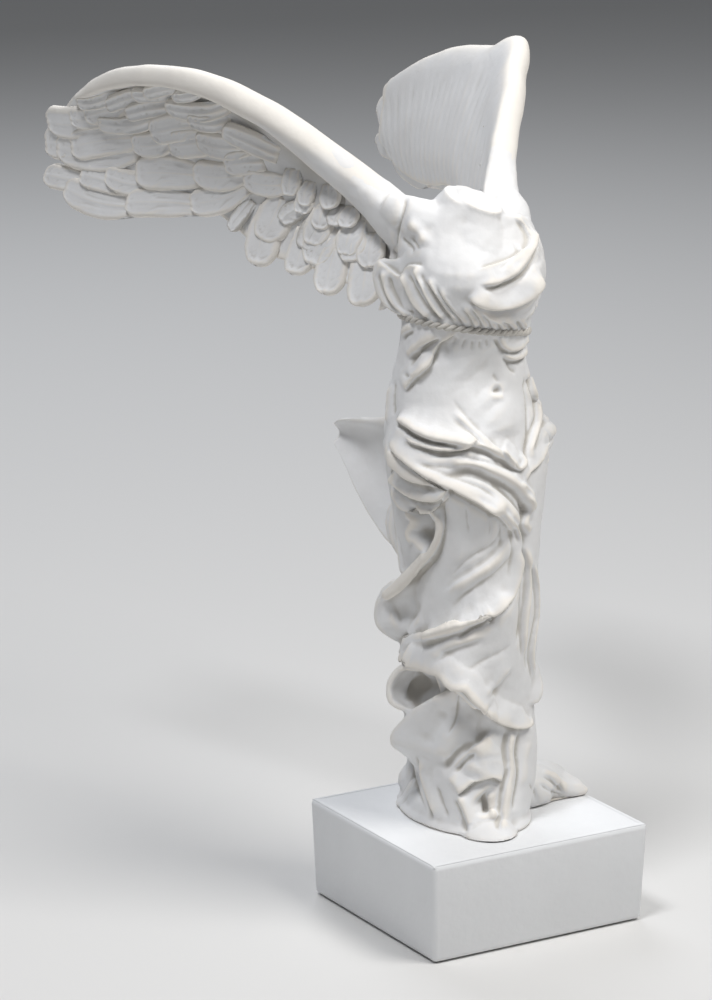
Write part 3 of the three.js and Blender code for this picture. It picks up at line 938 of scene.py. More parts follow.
POUCH = (
    line(
        Cut.HEM, 1.7, 1.7, (-26.5, 34.5), (-23, 39), (-18, 43.5), (-16, 48.5), (-13.5, 52.5),
        (-8, 55), lean=0.4, fade=0.1,
    ),
    line(Cut.PLEAT, 1.5, 1.4, (-25.5, 46), (-24, 48), (-20, 52), (-15, 54.5), fade=0.2),
    line(Cut.CREASE, 1.4, 1.5, (-25, 42.5), (-22.5, 46.5), (-18, 51), (-13, 54.5), fade=0.2),
    line(Cut.ROLL, 1.6, 1.2, (-25, 39), (-21.5, 41.5), (-18.5, 46), fade=0.25),
    line(Cut.CREASE, 1, 1.2, (-26.5, 41), (-23, 40), (-21, 41.5), fade=0.25),
    line(Cut.PLEAT, 1.4, 1.2, (-27, 53), (-26, 55.5), (-23, 57), fade=0.25),
    line(Cut.CREASE, 0.9, 0.8, (-8, 54), (-9, 52), (-10.5, 50.5), fade=0.3),
    line(Cut.CREASE, 0.9, 0.8, (-5, 53.5), (-6, 51), (-7, 49), fade=0.3),
    line(Cut.CREASE, 0.9, 0.8, (-3, 53), (-3, 51), (-3.5, 48.5), fade=0.3),
    line(Cut.CREASE, 0.9, 0.8, (-0.5, 53), (-0.5, 51), (-0.5, 49), fade=0.3),
    line(Cut.CREASE, 0.9, 0.8, (1.5, 53.5), (2, 51.5), (2.5, 49.5), fade=0.3),
    line(Cut.CREASE, 0.9, 0.8, (4, 53.5), (5, 52), (6, 50.5), fade=0.3),
    line(Cut.PLEAT, 1.4, 1.5, (6, 54), (8, 50.5), (12, 50), (15.5, 53), lean=0.3, fade=0.15),
    line(Cut.PLEAT, 1.4, 1.5, (7, 48), (11, 46.5), (14.5, 48), (16, 52), lean=0.3, fade=0.15),
    line(Cut.CREASE, 1, 1, (8.5, 46), (10, 43), (12.5, 41.5), fade=0.3),
    line(Cut.CREASE, 0.9, 0.7, (3.5, 41.5), (5.5, 39), (6.5, 37.5), fade=0.3),
    line(Cut.ROLL, 1.2, -2.2, (4, 36), (5.5, 35.5), (7, 36), fade=0.2),
    line(Cut.ROLL, 1.3, 0.6, (3.5, 34), (6, 33), (8, 34), fade=0.3),
    line(Cut.CREASE, 1.6, 0.9, (-11.5, 34.5), (-4.5, 26), (3, 18.5), (9.5, 13), fade=0.3),
    line(Cut.PLEAT, 1.6, 0.8, (-10, 28.5), (-3, 22), (5, 15.5), fade=0.3),
    line(Cut.CREASE, 1.4, 1.3, (-29.5, 39), (-30, 31.5), (-29.5, 26), fade=0.2),
    line(Cut.PLEAT, 1.5, 1.1, (-31, 37.5), (-31.5, 30), (-32, 23), fade=0.2),
)
MANTLE = (
    line(
        Cut.PLEAT, 1.8, 2, (-28.5, 26), (-25, 23.5), (-18.5, 20), (-11.5, 18.5), (-4.5, 18),
        (-1, 19), lean=0.4, fade=0.1,
    ),
    line(Cut.CREASE, 1.4, 1.7, (-27.5, 23.5), (-24, 20), (-16.5, 17.5), (-10, 17), fade=0.15),
    line(
        Cut.PLEAT, 1.6, 1.7, (-26, 19.5), (-21, 17), (-14.5, 15.5), (-8, 15.5), (-2, 17),
        lean=0.3, fade=0.12,
    ),
    line(Cut.PLEAT, 1.7, 1.7, (-8.5, 15), (-3, 17), (3, 15.5), (8, 12.5), (12.5, 8.5), lean=0.3, fade=0.12),
    line(Cut.CREASE, 1.3, 1.4, (-24.5, 18), (-17.5, 14.5), (-10, 14), (-3, 14.5), fade=0.2),
    line(Cut.CREASE, 1.2, 1.2, (-4.5, 14.5), (2, 13), (7, 10), fade=0.2),
    line(
        Cut.PLEAT, 2.2, 2, (-11.5, 9), (-3, 9.5), (5, 6.5), (11.5, 3), (16, -3), (17.5, -6.5),
        lean=-0.2, fade=0.1,
    ),
    line(
        Cut.PLEAT, 2, 2.2, (-31, 18.5), (-26, 12.5), (-17.5, 6.5), (-8.5, 2), (0, -2.5),
        (8, -7.5), lean=0.5, fade=0.1,
    ),
    line(Cut.CREASE, 1.3, 1.3, (-24.5, 13), (-16, 8.5), (-7, 5), (1.5, 1.5), (8, -3), fade=0.2),
    line(Cut.CREASE, 1.2, 1.2, (3, 5), (8.5, 0.5), (13, -4.5), (14.5, -8), fade=0.2),
    line(Cut.CREST, 1.4, 1.3, (12.5, 4), (16, 1.5), (18, -1), fade=0.25),
    line(Cut.HEM, 1.5, 1.6, (0, -3.5), (6.5, -7.5), (10, -11.5), (12.5, -16), lean=0.3, fade=0.2),
    line(Cut.PLEAT, 1.8, 1.6, (14, -0.5), (16.5, -4.5), (15, -9.5), (17.5, -14), fade=0.2),
    line(Cut.CREASE, 1.4, 1.6, (6.5, -3), (11.5, -8), (15, -14.5), (15.5, -19.5), fade=0.2),
    line(Cut.PLEAT, 1.8, 1.6, (3.5, -2.5), (9, -6.5), (13, -11.5), (15, -17), lean=0.2, fade=0.2),
    line(Cut.HEM, 1.4, 1.6, (6, 15.5), (9.5, 12), (12.5, 8.5), (15, 10), (15.5, 14.5), lean=0.2, fade=0.12),
    line(Cut.CREASE, 1.6, 1.8, (14.5, 40), (16, 31.5), (16.5, 23), (16, 15.5), (15, 10.5), fade=0.12),
    line(Cut.PLEAT, 1.6, 1.6, (15.5, 41.5), (18, 34.5), (19.5, 27.5), (18, 19.5), (16, 12), fade=0.12),
    line(Cut.CREASE, 1.3, 1.4, (17.5, 34.5), (21, 26.5), (20, 20), (17.5, 13.5), fade=0.15),
    line(
        Cut.HEM, 1.5, 1.6, (15, 3.5), (16.5, 7), (20, 10.5), (22, 14.5), (23.5, 18.5), lean=0.2,
        fade=0.12,
    ),
    line(Cut.CREASE, 0.8, 0.9, (-27.5, 23.5), (-20, 19), (-4, 16.5), fade=0.2),
    line(Cut.CREASE, 0.8, 0.8, (-26.5, 21), (-17.5, 18), (-2, 14.5), fade=0.2),
    line(Cut.CREASE, 0.9, 1.0, (-19.5, 12.5), (-7.5, 12.5), (5, 10), (12.5, 7.5), fade=0.2),
    line(Cut.CREASE, 0.8, 0.9, (-23, 10.5), (-11, 9), (-0.5, 8), (10.5, 2), fade=0.2),
    line(Cut.CREASE, 0.9, 1.0, (-15, 6.5), (-2, 5.5), (8.5, 0), (15, -7), fade=0.2),
    line(Cut.CREASE, 0.8, 0.9, (-4, 1), (5, -3.5), (12.5, -10), fade=0.25),
)
SWAGS = (
    line(
        Cut.PLEAT, 1.8, 1.6, (-32.5, 17), (-30.5, 12), (-26, 6.5), (-20, 4), (-13.5, 3),
        lean=0.3, fade=0.15,
    ),
    line(Cut.CREASE, 1.3, 1.4, (-31, 10), (-26.5, 4.5), (-21, 2), (-15, 1.5), fade=0.15),
    line(
        Cut.PLEAT, 1.8, 1.7, (-31, 8), (-27.5, 2.5), (-22.5, -0.5), (-16, -1), (-11, 2),
        lean=0.3, fade=0.12,
    ),
    line(Cut.CREASE, 1.3, 1.5, (-30.5, 4.5), (-27, 0), (-21.5, -3), (-15, -2.5), fade=0.15),
    line(
        Cut.HEM, 1.6, 1.9, (-30.5, 4), (-28, -3), (-24, -6), (-17.5, -6), (-13.5, -3.5),
        (-9.5, 0.5), lean=0.5, fade=0.1,
    ),
    line(Cut.PLEAT, 1.2, 1.1, (-30.5, 14.5), (-29.5, 8), (-30, 3), fade=0.2),
)
THIGH = (
    line(Cut.CREASE, 2.2, 1.1, (9, -9), (5, -17), (-4, -22.5), (-13, -31.5), fade=0.3),
    line(Cut.PLEAT, 2.6, 1.2, (12, -14), (4, -24), (-6, -30.5), (-13, -36), fade=0.3),
    line(Cut.CREASE, 2.2, 1.1, (13.5, -18), (6, -26.5), (-5, -34.5), (-11, -41), fade=0.3),
    line(
        Cut.PLEAT, 2.2, 2, (-18.5, -49.5), (-11.5, -47), (-5, -44.5), (0.5, -42.5), (6, -40),
        (10.5, -34.5), (13, -27), (14, -18), lean=0.5, fade=0.1,
    ),
    line(Cut.CREASE, 1.8, 2.2, (-8.5, -50), (-3.5, -47.5), (2.5, -45), (7.5, -42), fade=0.2),
    line(
        Cut.ROLL, 1.9, 2.0, (-27.3, -52), (-23.3, -49.6), (-15.5, -48.8), (-9, -46.3), (-3, -44.6),
        fade=0.1,
    ),
    line(Cut.CREASE, 2, 1.1, (-9, -51), (-3, -47.5), (4, -45.5), (9.5, -42), fade=0.25),
    line(Cut.PLEAT, 2.4, 0.9, (-17.5, -57), (-11, -52.5), (-4, -50), (3, -48), fade=0.3),
    line(Cut.CREASE, 2.2, 0.8, (-6, -62), (1, -57.5), (8, -54), (13, -50), fade=0.3),
    line(Cut.PLEAT, 2.2, 0.7, (1.5, -69), (7, -64), (12, -57.5), fade=0.3),
    line(Cut.CREASE, 1, 0.6, (-5, -3), (-4.5, -9), (-3.5, -14.5), fade=0.3),
    line(Cut.CREASE, 1, 0.6, (2.5, -4.5), (3.5, -11.5), (2.5, -17), fade=0.3),
    line(Cut.CREASE, 1.1, 0.8, (6, -8), (7.5, -14.5), (7, -20.5), fade=0.3),
    line(Cut.CREASE, 1.2, 0.9, (10.5, -12), (11, -20.5), (9, -29), fade=0.3),
    line(
        Cut.CREASE, 1.6, 1.6, (14.5, -15.5), (15.5, -24), (14.5, -35.5), (14, -46), (12.5, -53),
        fade=0.15,
    ),
    line(Cut.PLEAT, 1.6, 1.4, (15.5, -17), (17, -25.5), (16.5, -35.5), (15.5, -47), (15.5, -57), fade=0.15),
    line(Cut.CREASE, 1.5, 1.7, (17, -23), (18.5, -32), (17.5, -43), (16.5, -53), (16.5, -62), fade=0.15),
    line(Cut.PLEAT, 1.5, 1.3, (18, -22), (19.5, -31.5), (19.5, -42), (18, -53.5), (18.5, -64.5), fade=0.15),
)
OPENING = (
    line(
        Cut.ROLL, 1.7, 1.9, (-16.5, -5), (-13.5, -9.5), (-14, -14.5), (-16.5, -19.5),
        (-21, -24.5), (-27.5, -31.5), (-33.5, -36.5), fade=0.06,
    ),
    line(
        Cut.CREASE, 1.3, 1.6, (-13.5, -1.5), (-12, -9), (-12.5, -15), (-14.5, -21.5),
        (-19, -26.5), (-25.5, -33.5), fade=0.15,
    ),
    line(Cut.ROLL, 4.2, -6.5, (-20.5, -7), (-20, -12), (-21.5, -18), fade=0.2),
    line(Cut.CREASE, 1.6, 2, (-18.5, -8), (-17.5, -13), (-19, -18.5), fade=0.2),
    line(Cut.ROLL, 1.4, 1.2, (-26, -5.5), (-23.5, -9.5), (-24.5, -14), (-23, -18), fade=0.15),
    line(Cut.ROLL, 4.5, -2, (-30, -43), (-25.5, -42), (-21.5, -44.5), fade=0.25),
)
HEMS = (
    line(
        Cut.HEM, 1.9, 2.1, (-27, -53.5), (-25.5, -57.5), (-21.5, -59), (-13.5, -61.5),
        (-8.5, -66), (-5, -67), (-1.5, -71), (5, -76.5), (12.5, -79.5), (17.5, -78.5),
        (18.5, -75.5), lean=0.6, fade=0.05,
    ),
    line(Cut.ROLL, 1.3, 0.9, (-13, -60.5), (-8.5, -65), (-4, -66), (0, -71.5), (6.5, -76.5), fade=0.15),
    line(Cut.CREASE, 1.3, 1.4, (-23.5, -58.5), (-18.5, -61), (-11.5, -64.5), (-8.5, -68.5), fade=0.2),
    line(Cut.CREASE, 1.8, 1.4, (-6.5, -69), (-7.5, -76), (-11.5, -84), fade=0.25),
    line(Cut.PLEAT, 2.6, 1.5, (7, -80), (1.5, -86), (-5.5, -90.5), (-11, -97), fade=0.25),
    line(Cut.CREASE, 2, 1.5, (1, -87.5), (-4, -91.5), (-8, -96.5), fade=0.3),
    line(
        Cut.PLEAT, 2.2, 1.6, (11.8, -80.5), (10.6, -87), (11, -94.5), (9.6, -104), (8.6, -116),
        lean=0.2, fade=0.1,
    ),
    line(Cut.CREASE, 1.7, 1.7, (14.4, -80.5), (13, -88), (13.6, -97), (11.6, -109), fade=0.15),
    line(Cut.ROLL, 2.4, 0.9, (17.5, -82), (16, -91), (15.6, -101), fade=0.25),
    line(
        Cut.HEM, 1.7, 2.0, (-7, -103), (-4, -100.5), (-0.5, -98), (4.5, -96.6), (8.8, -98.6),
        lean=0.4, fade=0.1,
    ),
    line(Cut.ROLL, 1.4, 1.5, (4.2, -101.5), (5, -106), (5.6, -112), fade=0.2),
    line(Cut.PLEAT, 1.8, 1.5, (-7, -103), (-4.5, -108), (-2, -115), fade=0.2),
    line(Cut.CREASE, 2, 1.7, (-24, -89.5), (-22.3, -97), (-20.5, -103), (-17, -110), fade=0.2),
    line(Cut.PLEAT, 2.2, 1.5, (-19.5, -89.5), (-18.5, -97), (-16.5, -104), (-13.5, -112), fade=0.2),
    line(Cut.CREASE, 1.8, 1.2, (-14.5, -99), (-12.5, -105), (-9.5, -112), fade=0.25),
    line(Cut.PLEAT, 1.5, 1.3, (21.5, -95), (26.5, -97.5), (31, -101.8), fade=0.2),
    line(Cut.CREASE, 1.3, 1.1, (20, -98), (25, -101.5), (29.5, -104), fade=0.25),
    line(Cut.CREASE, 1.3, 1.1, (17, -97.5), (19.5, -102), (20.5, -106.5), fade=0.25),
)

CARVING = (MASSES, BODICE, POUCH, MANTLE, SWAGS, THIGH, OPENING, HEMS)


@dataclass
class DrapedFigure:
    """The draped body, from the terrace under its feet to the stump of its neck."""

    voxel: float = 0.5
    belt_height: float = 208.6
    belt_tilt: tuple = (-0.17, 0.0)
    neck: tuple = (-0.5, 2.0, 252.2)
    neck_lean: tuple = (0.28, -0.33, 0.90)
    most_triangles: int = 190_000

    def plugs(self) -> list:
        """Fill the sockets: wings and mantle grow out of the body with no glue line."""
        made = []
        for node, at in (("wing_right", 21.0), ("wing_left", 21.0), ("mantle_tail", 27.0)):
            plug = cad_copy(node, node + "_root")
            select_only(plug)
            bpy.ops.object.mode_set(mode="EDIT")
            bpy.ops.mesh.select_all(action="SELECT")
            bpy.ops.transform.shrink_fatten(value=0.45 * MM)
            bpy.ops.mesh.bisect(
                plane_co=(0, at * MM, 0), plane_no=(0, 1, 0), use_fill=True, clear_outer=True,
            )
            bpy.ops.object.mode_set(mode="OBJECT")
            made.append(plug)
        return made

    def shoulders(self, wings: tuple) -> list:
        """The swell of each shoulder into its wing, the left shoulder's crown and the neck."""
        made = [new_piece(w.name + "_swell", *w.shell(0.2, 1.45, 0.88)) for w in wings]
        for side, lift in ((1, 2.8), (-1, 0.0)):
            line = curve_through([
                (-24 * side, 22, 246 + lift), (-19 * side, 13, 242.5 + lift),
                (-10 * side, 5, 238 + lift),
            ], 1.0)
            radius = np.interp(np.linspace(0, 1, len(line)), [0, 0.5, 1], [5.0, 7.8, 9.5])
            made.append(new_piece(f"shoulder_{side}", *rounded_tube(line, radius, 20)))
        lean = np.array(self.neck_lean) / np.linalg.norm(self.neck_lean)
        first = np.cross(lean, [0, 1, 0])
        first /= np.linalg.norm(first)
        second = np.cross(lean, first)
        turn = np.linspace(0, 2 * np.pi, 64, endpoint=False)
        circle = np.cos(turn)[:, None] * first + np.sin(turn)[:, None] * second
        centre = np.array(self.neck)
        rings = [
            centre + (0, 0, -12) + 13.5 * circle, centre + (0, 0, -6) + 10.2 * circle,
            centre - 1.6 * lean + 9.3 * circle, centre - 0.2 * lean + 9.4 * circle,
            centre + 8.3 * circle, centre - 0.7 * lean + 7.2 * circle, centre - 0.8 * lean + 3 * circle,
        ]
        points = np.vstack(rings)
        faces = []
        for i in range(len(rings) - 1):
            for j in range(64):
                k = (j + 1) % 64
                faces.append((i * 64 + j, i * 64 + k, (i + 1) * 64 + k, (i + 1) * 64 + j))
        faces.append(tuple(range(63, -1, -1)))
        faces.append(tuple((len(rings) - 1) * 64 + j for j in range(64)))
        made.append(new_piece("neck_stump", points, faces))
        for piece in made:
            face_outward(piece)
        return made

    def keep_skin(self, piece: bpy.types.Object) -> bpy.types.Object:
        """Drop the closed voids inside a fused piece."""
        select_only(piece)
        bpy.ops.mesh.separate(type="LOOSE")
        parts = sorted(bpy.context.selected_objects, key=lambda o: -len(o.data.vertices))
        for part in parts[1:]:
            bpy.data.objects.remove(part)
        return parts[0]

    def slice_flat(self, piece: bpy.types.Object) -> None:
        """Cut the cloth off level where it meets the plinth."""
        select_only(piece)
        bpy.ops.object.mode_set(mode="EDIT")
        bpy.ops.mesh.select_all(action="SELECT")
        bpy.ops.mesh.bisect(
            plane_co=(0, 0, PLINTH_TOP * MM), plane_no=(0, 0, 1), use_fill=True, clear_inner=True,
        )
        bpy.ops.object.mode_set(mode="OBJECT")

    def long_folds(self, clay: Clay) -> None:
        """Folds that fall down the back and the left side, deep valleys between round crests."""
        x, y, z = clay.places.T
        turn = np.arctan2(y - 5, x + 1)
        facing = np.cos(turn - math.atan2(-0.844, -0.536))
        share = smoothstep(0.30, -0.20, facing) * smoothstep(0.75, 0.45, np.abs(clay.normals[:, 2]))
        wander = np.array([
            noise.noise(Vector((math.cos(t) * 1.6, math.sin(t) * 1.6, h / 46))) for t, h in zip(turn, z)
        ])
        patch = np.array([
            noise.noise(Vector((math.cos(t) * 2.3 + 7, math.sin(t) * 2.3, h / 30))) for t, h in zip(turn, z)
        ])
        skirt = 1 - smoothstep(150, 172, z)
        swirl = turn * 14 + 5.6 * wander + 2.2 * patch + 0.034 * (z - PLINTH_TOP)
        deep = np.abs(np.sin(swirl / 2 * 1.5)) ** 0.8 - 0.6
        fine = np.abs(np.sin(swirl * 1.9 + 2.0)) - 0.6
        low = (2.3 - 0.008 * z) * (0.85 + 0.7 * patch) * deep + (0.7 + patch) * 0.6 * fine
        hips = smoothstep(150, 168, z) * (1 - smoothstep(186, 200, z))
        slope = (z - 175) * 0.42 + 6.5 * np.cos(turn + 0.6) + 2.2 * wander
        roll = 1.5 * (np.abs(np.sin(slope)) ** 0.8 - 0.55)
        waist = smoothstep(190, 200, z) * (1 - smoothstep(208, 211, z))
        gather = 0.9 * (np.abs(np.sin(turn * 15 + 2 * wander)) - 0.6)
        back = smoothstep(209, 214, z) * (1 - smoothstep(236, 248, z))
        bodice = 1.3 * (np.abs(np.sin(turn * 10 + 0.05 * (z - 210) * np.cos(turn) + wander)) ** 0.8 - 0.55)
        rise = skirt * low + hips * roll + waist * gather + back * bodice
        clay.places += (share * rise)[:, None] * clay.normals
        clay.settle()

    def stand(self, clay: Clay) -> None:
        """Spread the cloth's foot onto the plinth's top."""
        z = clay.places[:, 2]
        low = 1 - smoothstep(PLINTH_TOP, PLINTH_TOP + 4.5, z)
        middle = np.array([-3.0, 2.0])
        away = clay.places[:, :2] - middle
        away /= np.linalg.norm(away, axis=1)[:, None] + 1e-9
        outer = np.abs(clay.normals[:, 2]) < 0.9
        clay.places[:, :2] += (1.6 * low ** 2 * outer)[:, None] * away
        clay.places[z < PLINTH_TOP + 0.5, 2] -= 0.32
        clay.settle()

    def build(self, wings: tuple) -> Clay:
        """Fuse the shells and carve the drapery."""
        body = cad_copy("figure_body", "figure")
        bpy.ops.object.mode_set(mode="EDIT")
        bpy.ops.mesh.select_all(action="SELECT")
        bpy.ops.mesh.bisect(
            plane_co=[(c - 1.2 * n) * MM for c, n in zip(self.neck, self.neck_lean)],
            plane_no=Vector(self.neck_lean).normalized(), use_fill=True, clear_outer=True,
        )
        bpy.ops.object.mode_set(mode="OBJECT")
        shells = [body, *self.plugs()]
        for name, flare in FLARES.items():
            shells += flare.shells(name)
        shells += [blob.shell(name) for name, blob in LUMPS.items()]
        shells += self.shoulders(wings)
        whole = join("figure", shells)
        remesh(whole, self.voxel)
        whole = self.keep_skin(whole)
        self.slice_flat(whole)
        clay = Clay(whole)
        LOG.info("fused figure: %d points", len(clay.places))
        clay.smooth(10, 0.55, keep=0.15)
        for centre, reach, move in PRESSES:
            clay.press(centre, reach, move)
        self.long_folds(clay)
        clay.smooth(2, 0.4)
        for group in CARVING:
            clay.carve(group)
            clay.smooth(1, 0.14)
        self.stand(clay)
        clay.roughen(9.0, 0.22, 3.0)
        clay.roughen(3.2, 0.14, 5.0)
        clay.smooth(1, 0.25)
        clay.mark_crests(14)
        shade_smooth(whole)
        return clay

    def lighten(self, piece: bpy.types.Object) -> None:
        """Collapse the flattest triangles where a piece holds more than it needs."""
        triangles = sum(len(face.vertices) - 2 for face in piece.data.polygons)
        if triangles <= self.most_triangles:
            return
        select_only(piece)
        thin = piece.modifiers.new("thin", "DECIMATE")
        thin.ratio = self.most_triangles / triangles
        bpy.ops.object.modifier_apply(modifier="thin")

    def split(self, whole: bpy.types.Object) -> list:
        """Part the figure along the belt into bodice and skirt."""
        made = []
        slope = Vector((-self.belt_tilt[0], -self.belt_tilt[1], 1.0)).normalized()
        for name, keep_above in (("bodice", True), ("skirt_and_mantle", False)):
            piece = whole.copy()
            piece.data = whole.data.copy()
            piece.name = piece.data.name = name
            bpy.context.scene.collection.objects.link(piece)
            select_only(piece)
            bpy.ops.object.mode_set(mode="EDIT")
            bpy.ops.mesh.select_all(action="SELECT")
            bpy.ops.mesh.bisect(
                plane_co=(0, 0, self.belt_height * MM), plane_no=slope, use_fill=True,
                clear_inner=keep_above, clear_outer=not keep_above,
            )
            bpy.ops.object.mode_set(mode="OBJECT")
            self.lighten(piece)
            made.append(piece)
        bpy.data.objects.remove(whole)
        return made


def closed_tube(line: Array, radius: float, sides: int) -> tuple[Array, list]:
    """A tube round a closed loop of points.

    Args:
        line: Points along the middle, the last not repeating the first.
        radius: Radius in millimetres.
        sides: Faces round it.

    Returns:
        Points and faces.
    """
    ahead = np.roll(line, -1, 0) - np.roll(line, 1, 0)
    ahead /= np.linalg.norm(ahead, axis=1)[:, None]
    side = np.cross(ahead, np.array([0.0, 0.0, 1.0]))
    side /= np.linalg.norm(side, axis=1)[:, None]
    other = np.cross(side, ahead)
    turn = np.linspace(0, 2 * np.pi, sides, endpoint=False)
    rings = line[:, None, :] + radius * (
        np.cos(turn)[None, :, None] * side[:, None, :]
        + np.sin(turn)[None, :, None] * other[:, None, :]
    )
    count = len(line)
    faces = []
    for i in range(count):
        for j in range(sides):
            k, n = (j + 1) % sides, (i + 1) % count
            faces.append((i * sides + j, n * sides + j, n * sides + k, i * sides + k))
    return rings.reshape(-1, 3), faces


@dataclass
class RopeBelt:
    """The rope carved high round the waist: two strands laid together."""

    height: float = 208.6
    tilt: tuple = (-0.17, 0.0)
    middle: tuple = (-1.0, 4.0)
    strand: float = 0.72
    lay: float = 5.6
    steps: int = 420

    def loop(self, skin: BVHTree) -> Array:
        """The line on the skin that the rope follows."""
        places = []
        for turn in np.linspace(0, 2 * np.pi, 180, endpoint=False):
            out = np.array([math.cos(turn), math.sin(turn)])
            far = np.array(self.middle) + 60 * out
            height = self.height + 0.4 * (self.tilt[0] * far[0] + self.tilt[1] * far[1])
            hit, _, _, _ = skin.ray_cast(Vector((*far, height)), Vector((*-out, 0)))
            radius = 60 - (np.linalg.norm(np.array(hit)[:2] - far) if hit is not None else 35)
            places.append(radius)
        radii = np.array(places)
        for _ in range(8):
            radii = 0.5 * radii + 0.25 * (np.roll(radii, 1) + np.roll(radii, -1))
        turn = np.linspace(0, 2 * np.pi, 180, endpoint=False)
        x = self.middle[0] + radii * np.cos(turn)
        y = self.middle[1] + radii * np.sin(turn)
        z = self.height + self.tilt[0] * x + self.tilt[1] * y
        ring = np.stack([x, y, z], axis=1)
        return resample(np.vstack([ring, ring[:1]]), self.steps + 1)[:-1]

    def build(self, skin: BVHTree) -> bpy.types.Object:
        """Lay the two strands round the loop."""
        loop = self.loop(skin)
        length = np.linalg.norm(np.diff(np.vstack([loop, loop[:1]]), axis=0), axis=1).sum()
        turns = round(length / self.lay)
        ahead = np.roll(loop, -1, 0) - np.roll(loop, 1, 0)
        ahead /= np.linalg.norm(ahead, axis=1)[:, None]
        out = np.cross(ahead, np.array([0.0, 0.0, 1.0]))
        out /= np.linalg.norm(out, axis=1)[:, None]
        rise = np.cross(out, ahead)
        phase = np.linspace(0, 2 * np.pi * turns, len(loop), endpoint=False)
        strands = []
        for k in range(2):
            angle = phase + np.pi * k
            line = loop + self.strand * 0.78 * (
                np.cos(angle)[:, None] * out + np.sin(angle)[:, None] * rise * 1.15
            )
            points, faces = closed_tube(line, self.strand, 10)
            strand = new_piece(f"strand_{k}", points, faces)
            face_outward(strand)
            strands.append(strand)
        return join("rope_belt", strands)


# ---- wings ---------------------------------------------------------------------------------
class Lie(Enum):
    """Which way a group of feathers lies over its neighbours."""

    ALONG = -1.0
    DOWN = 1.0


@dataclass(frozen=True)
class Feather:
    """One feather: its tip and base in the wing's (y, z), and its width, in millimetres."""

    tip: tuple
    base: tuple
    width: float
    lie: Lie


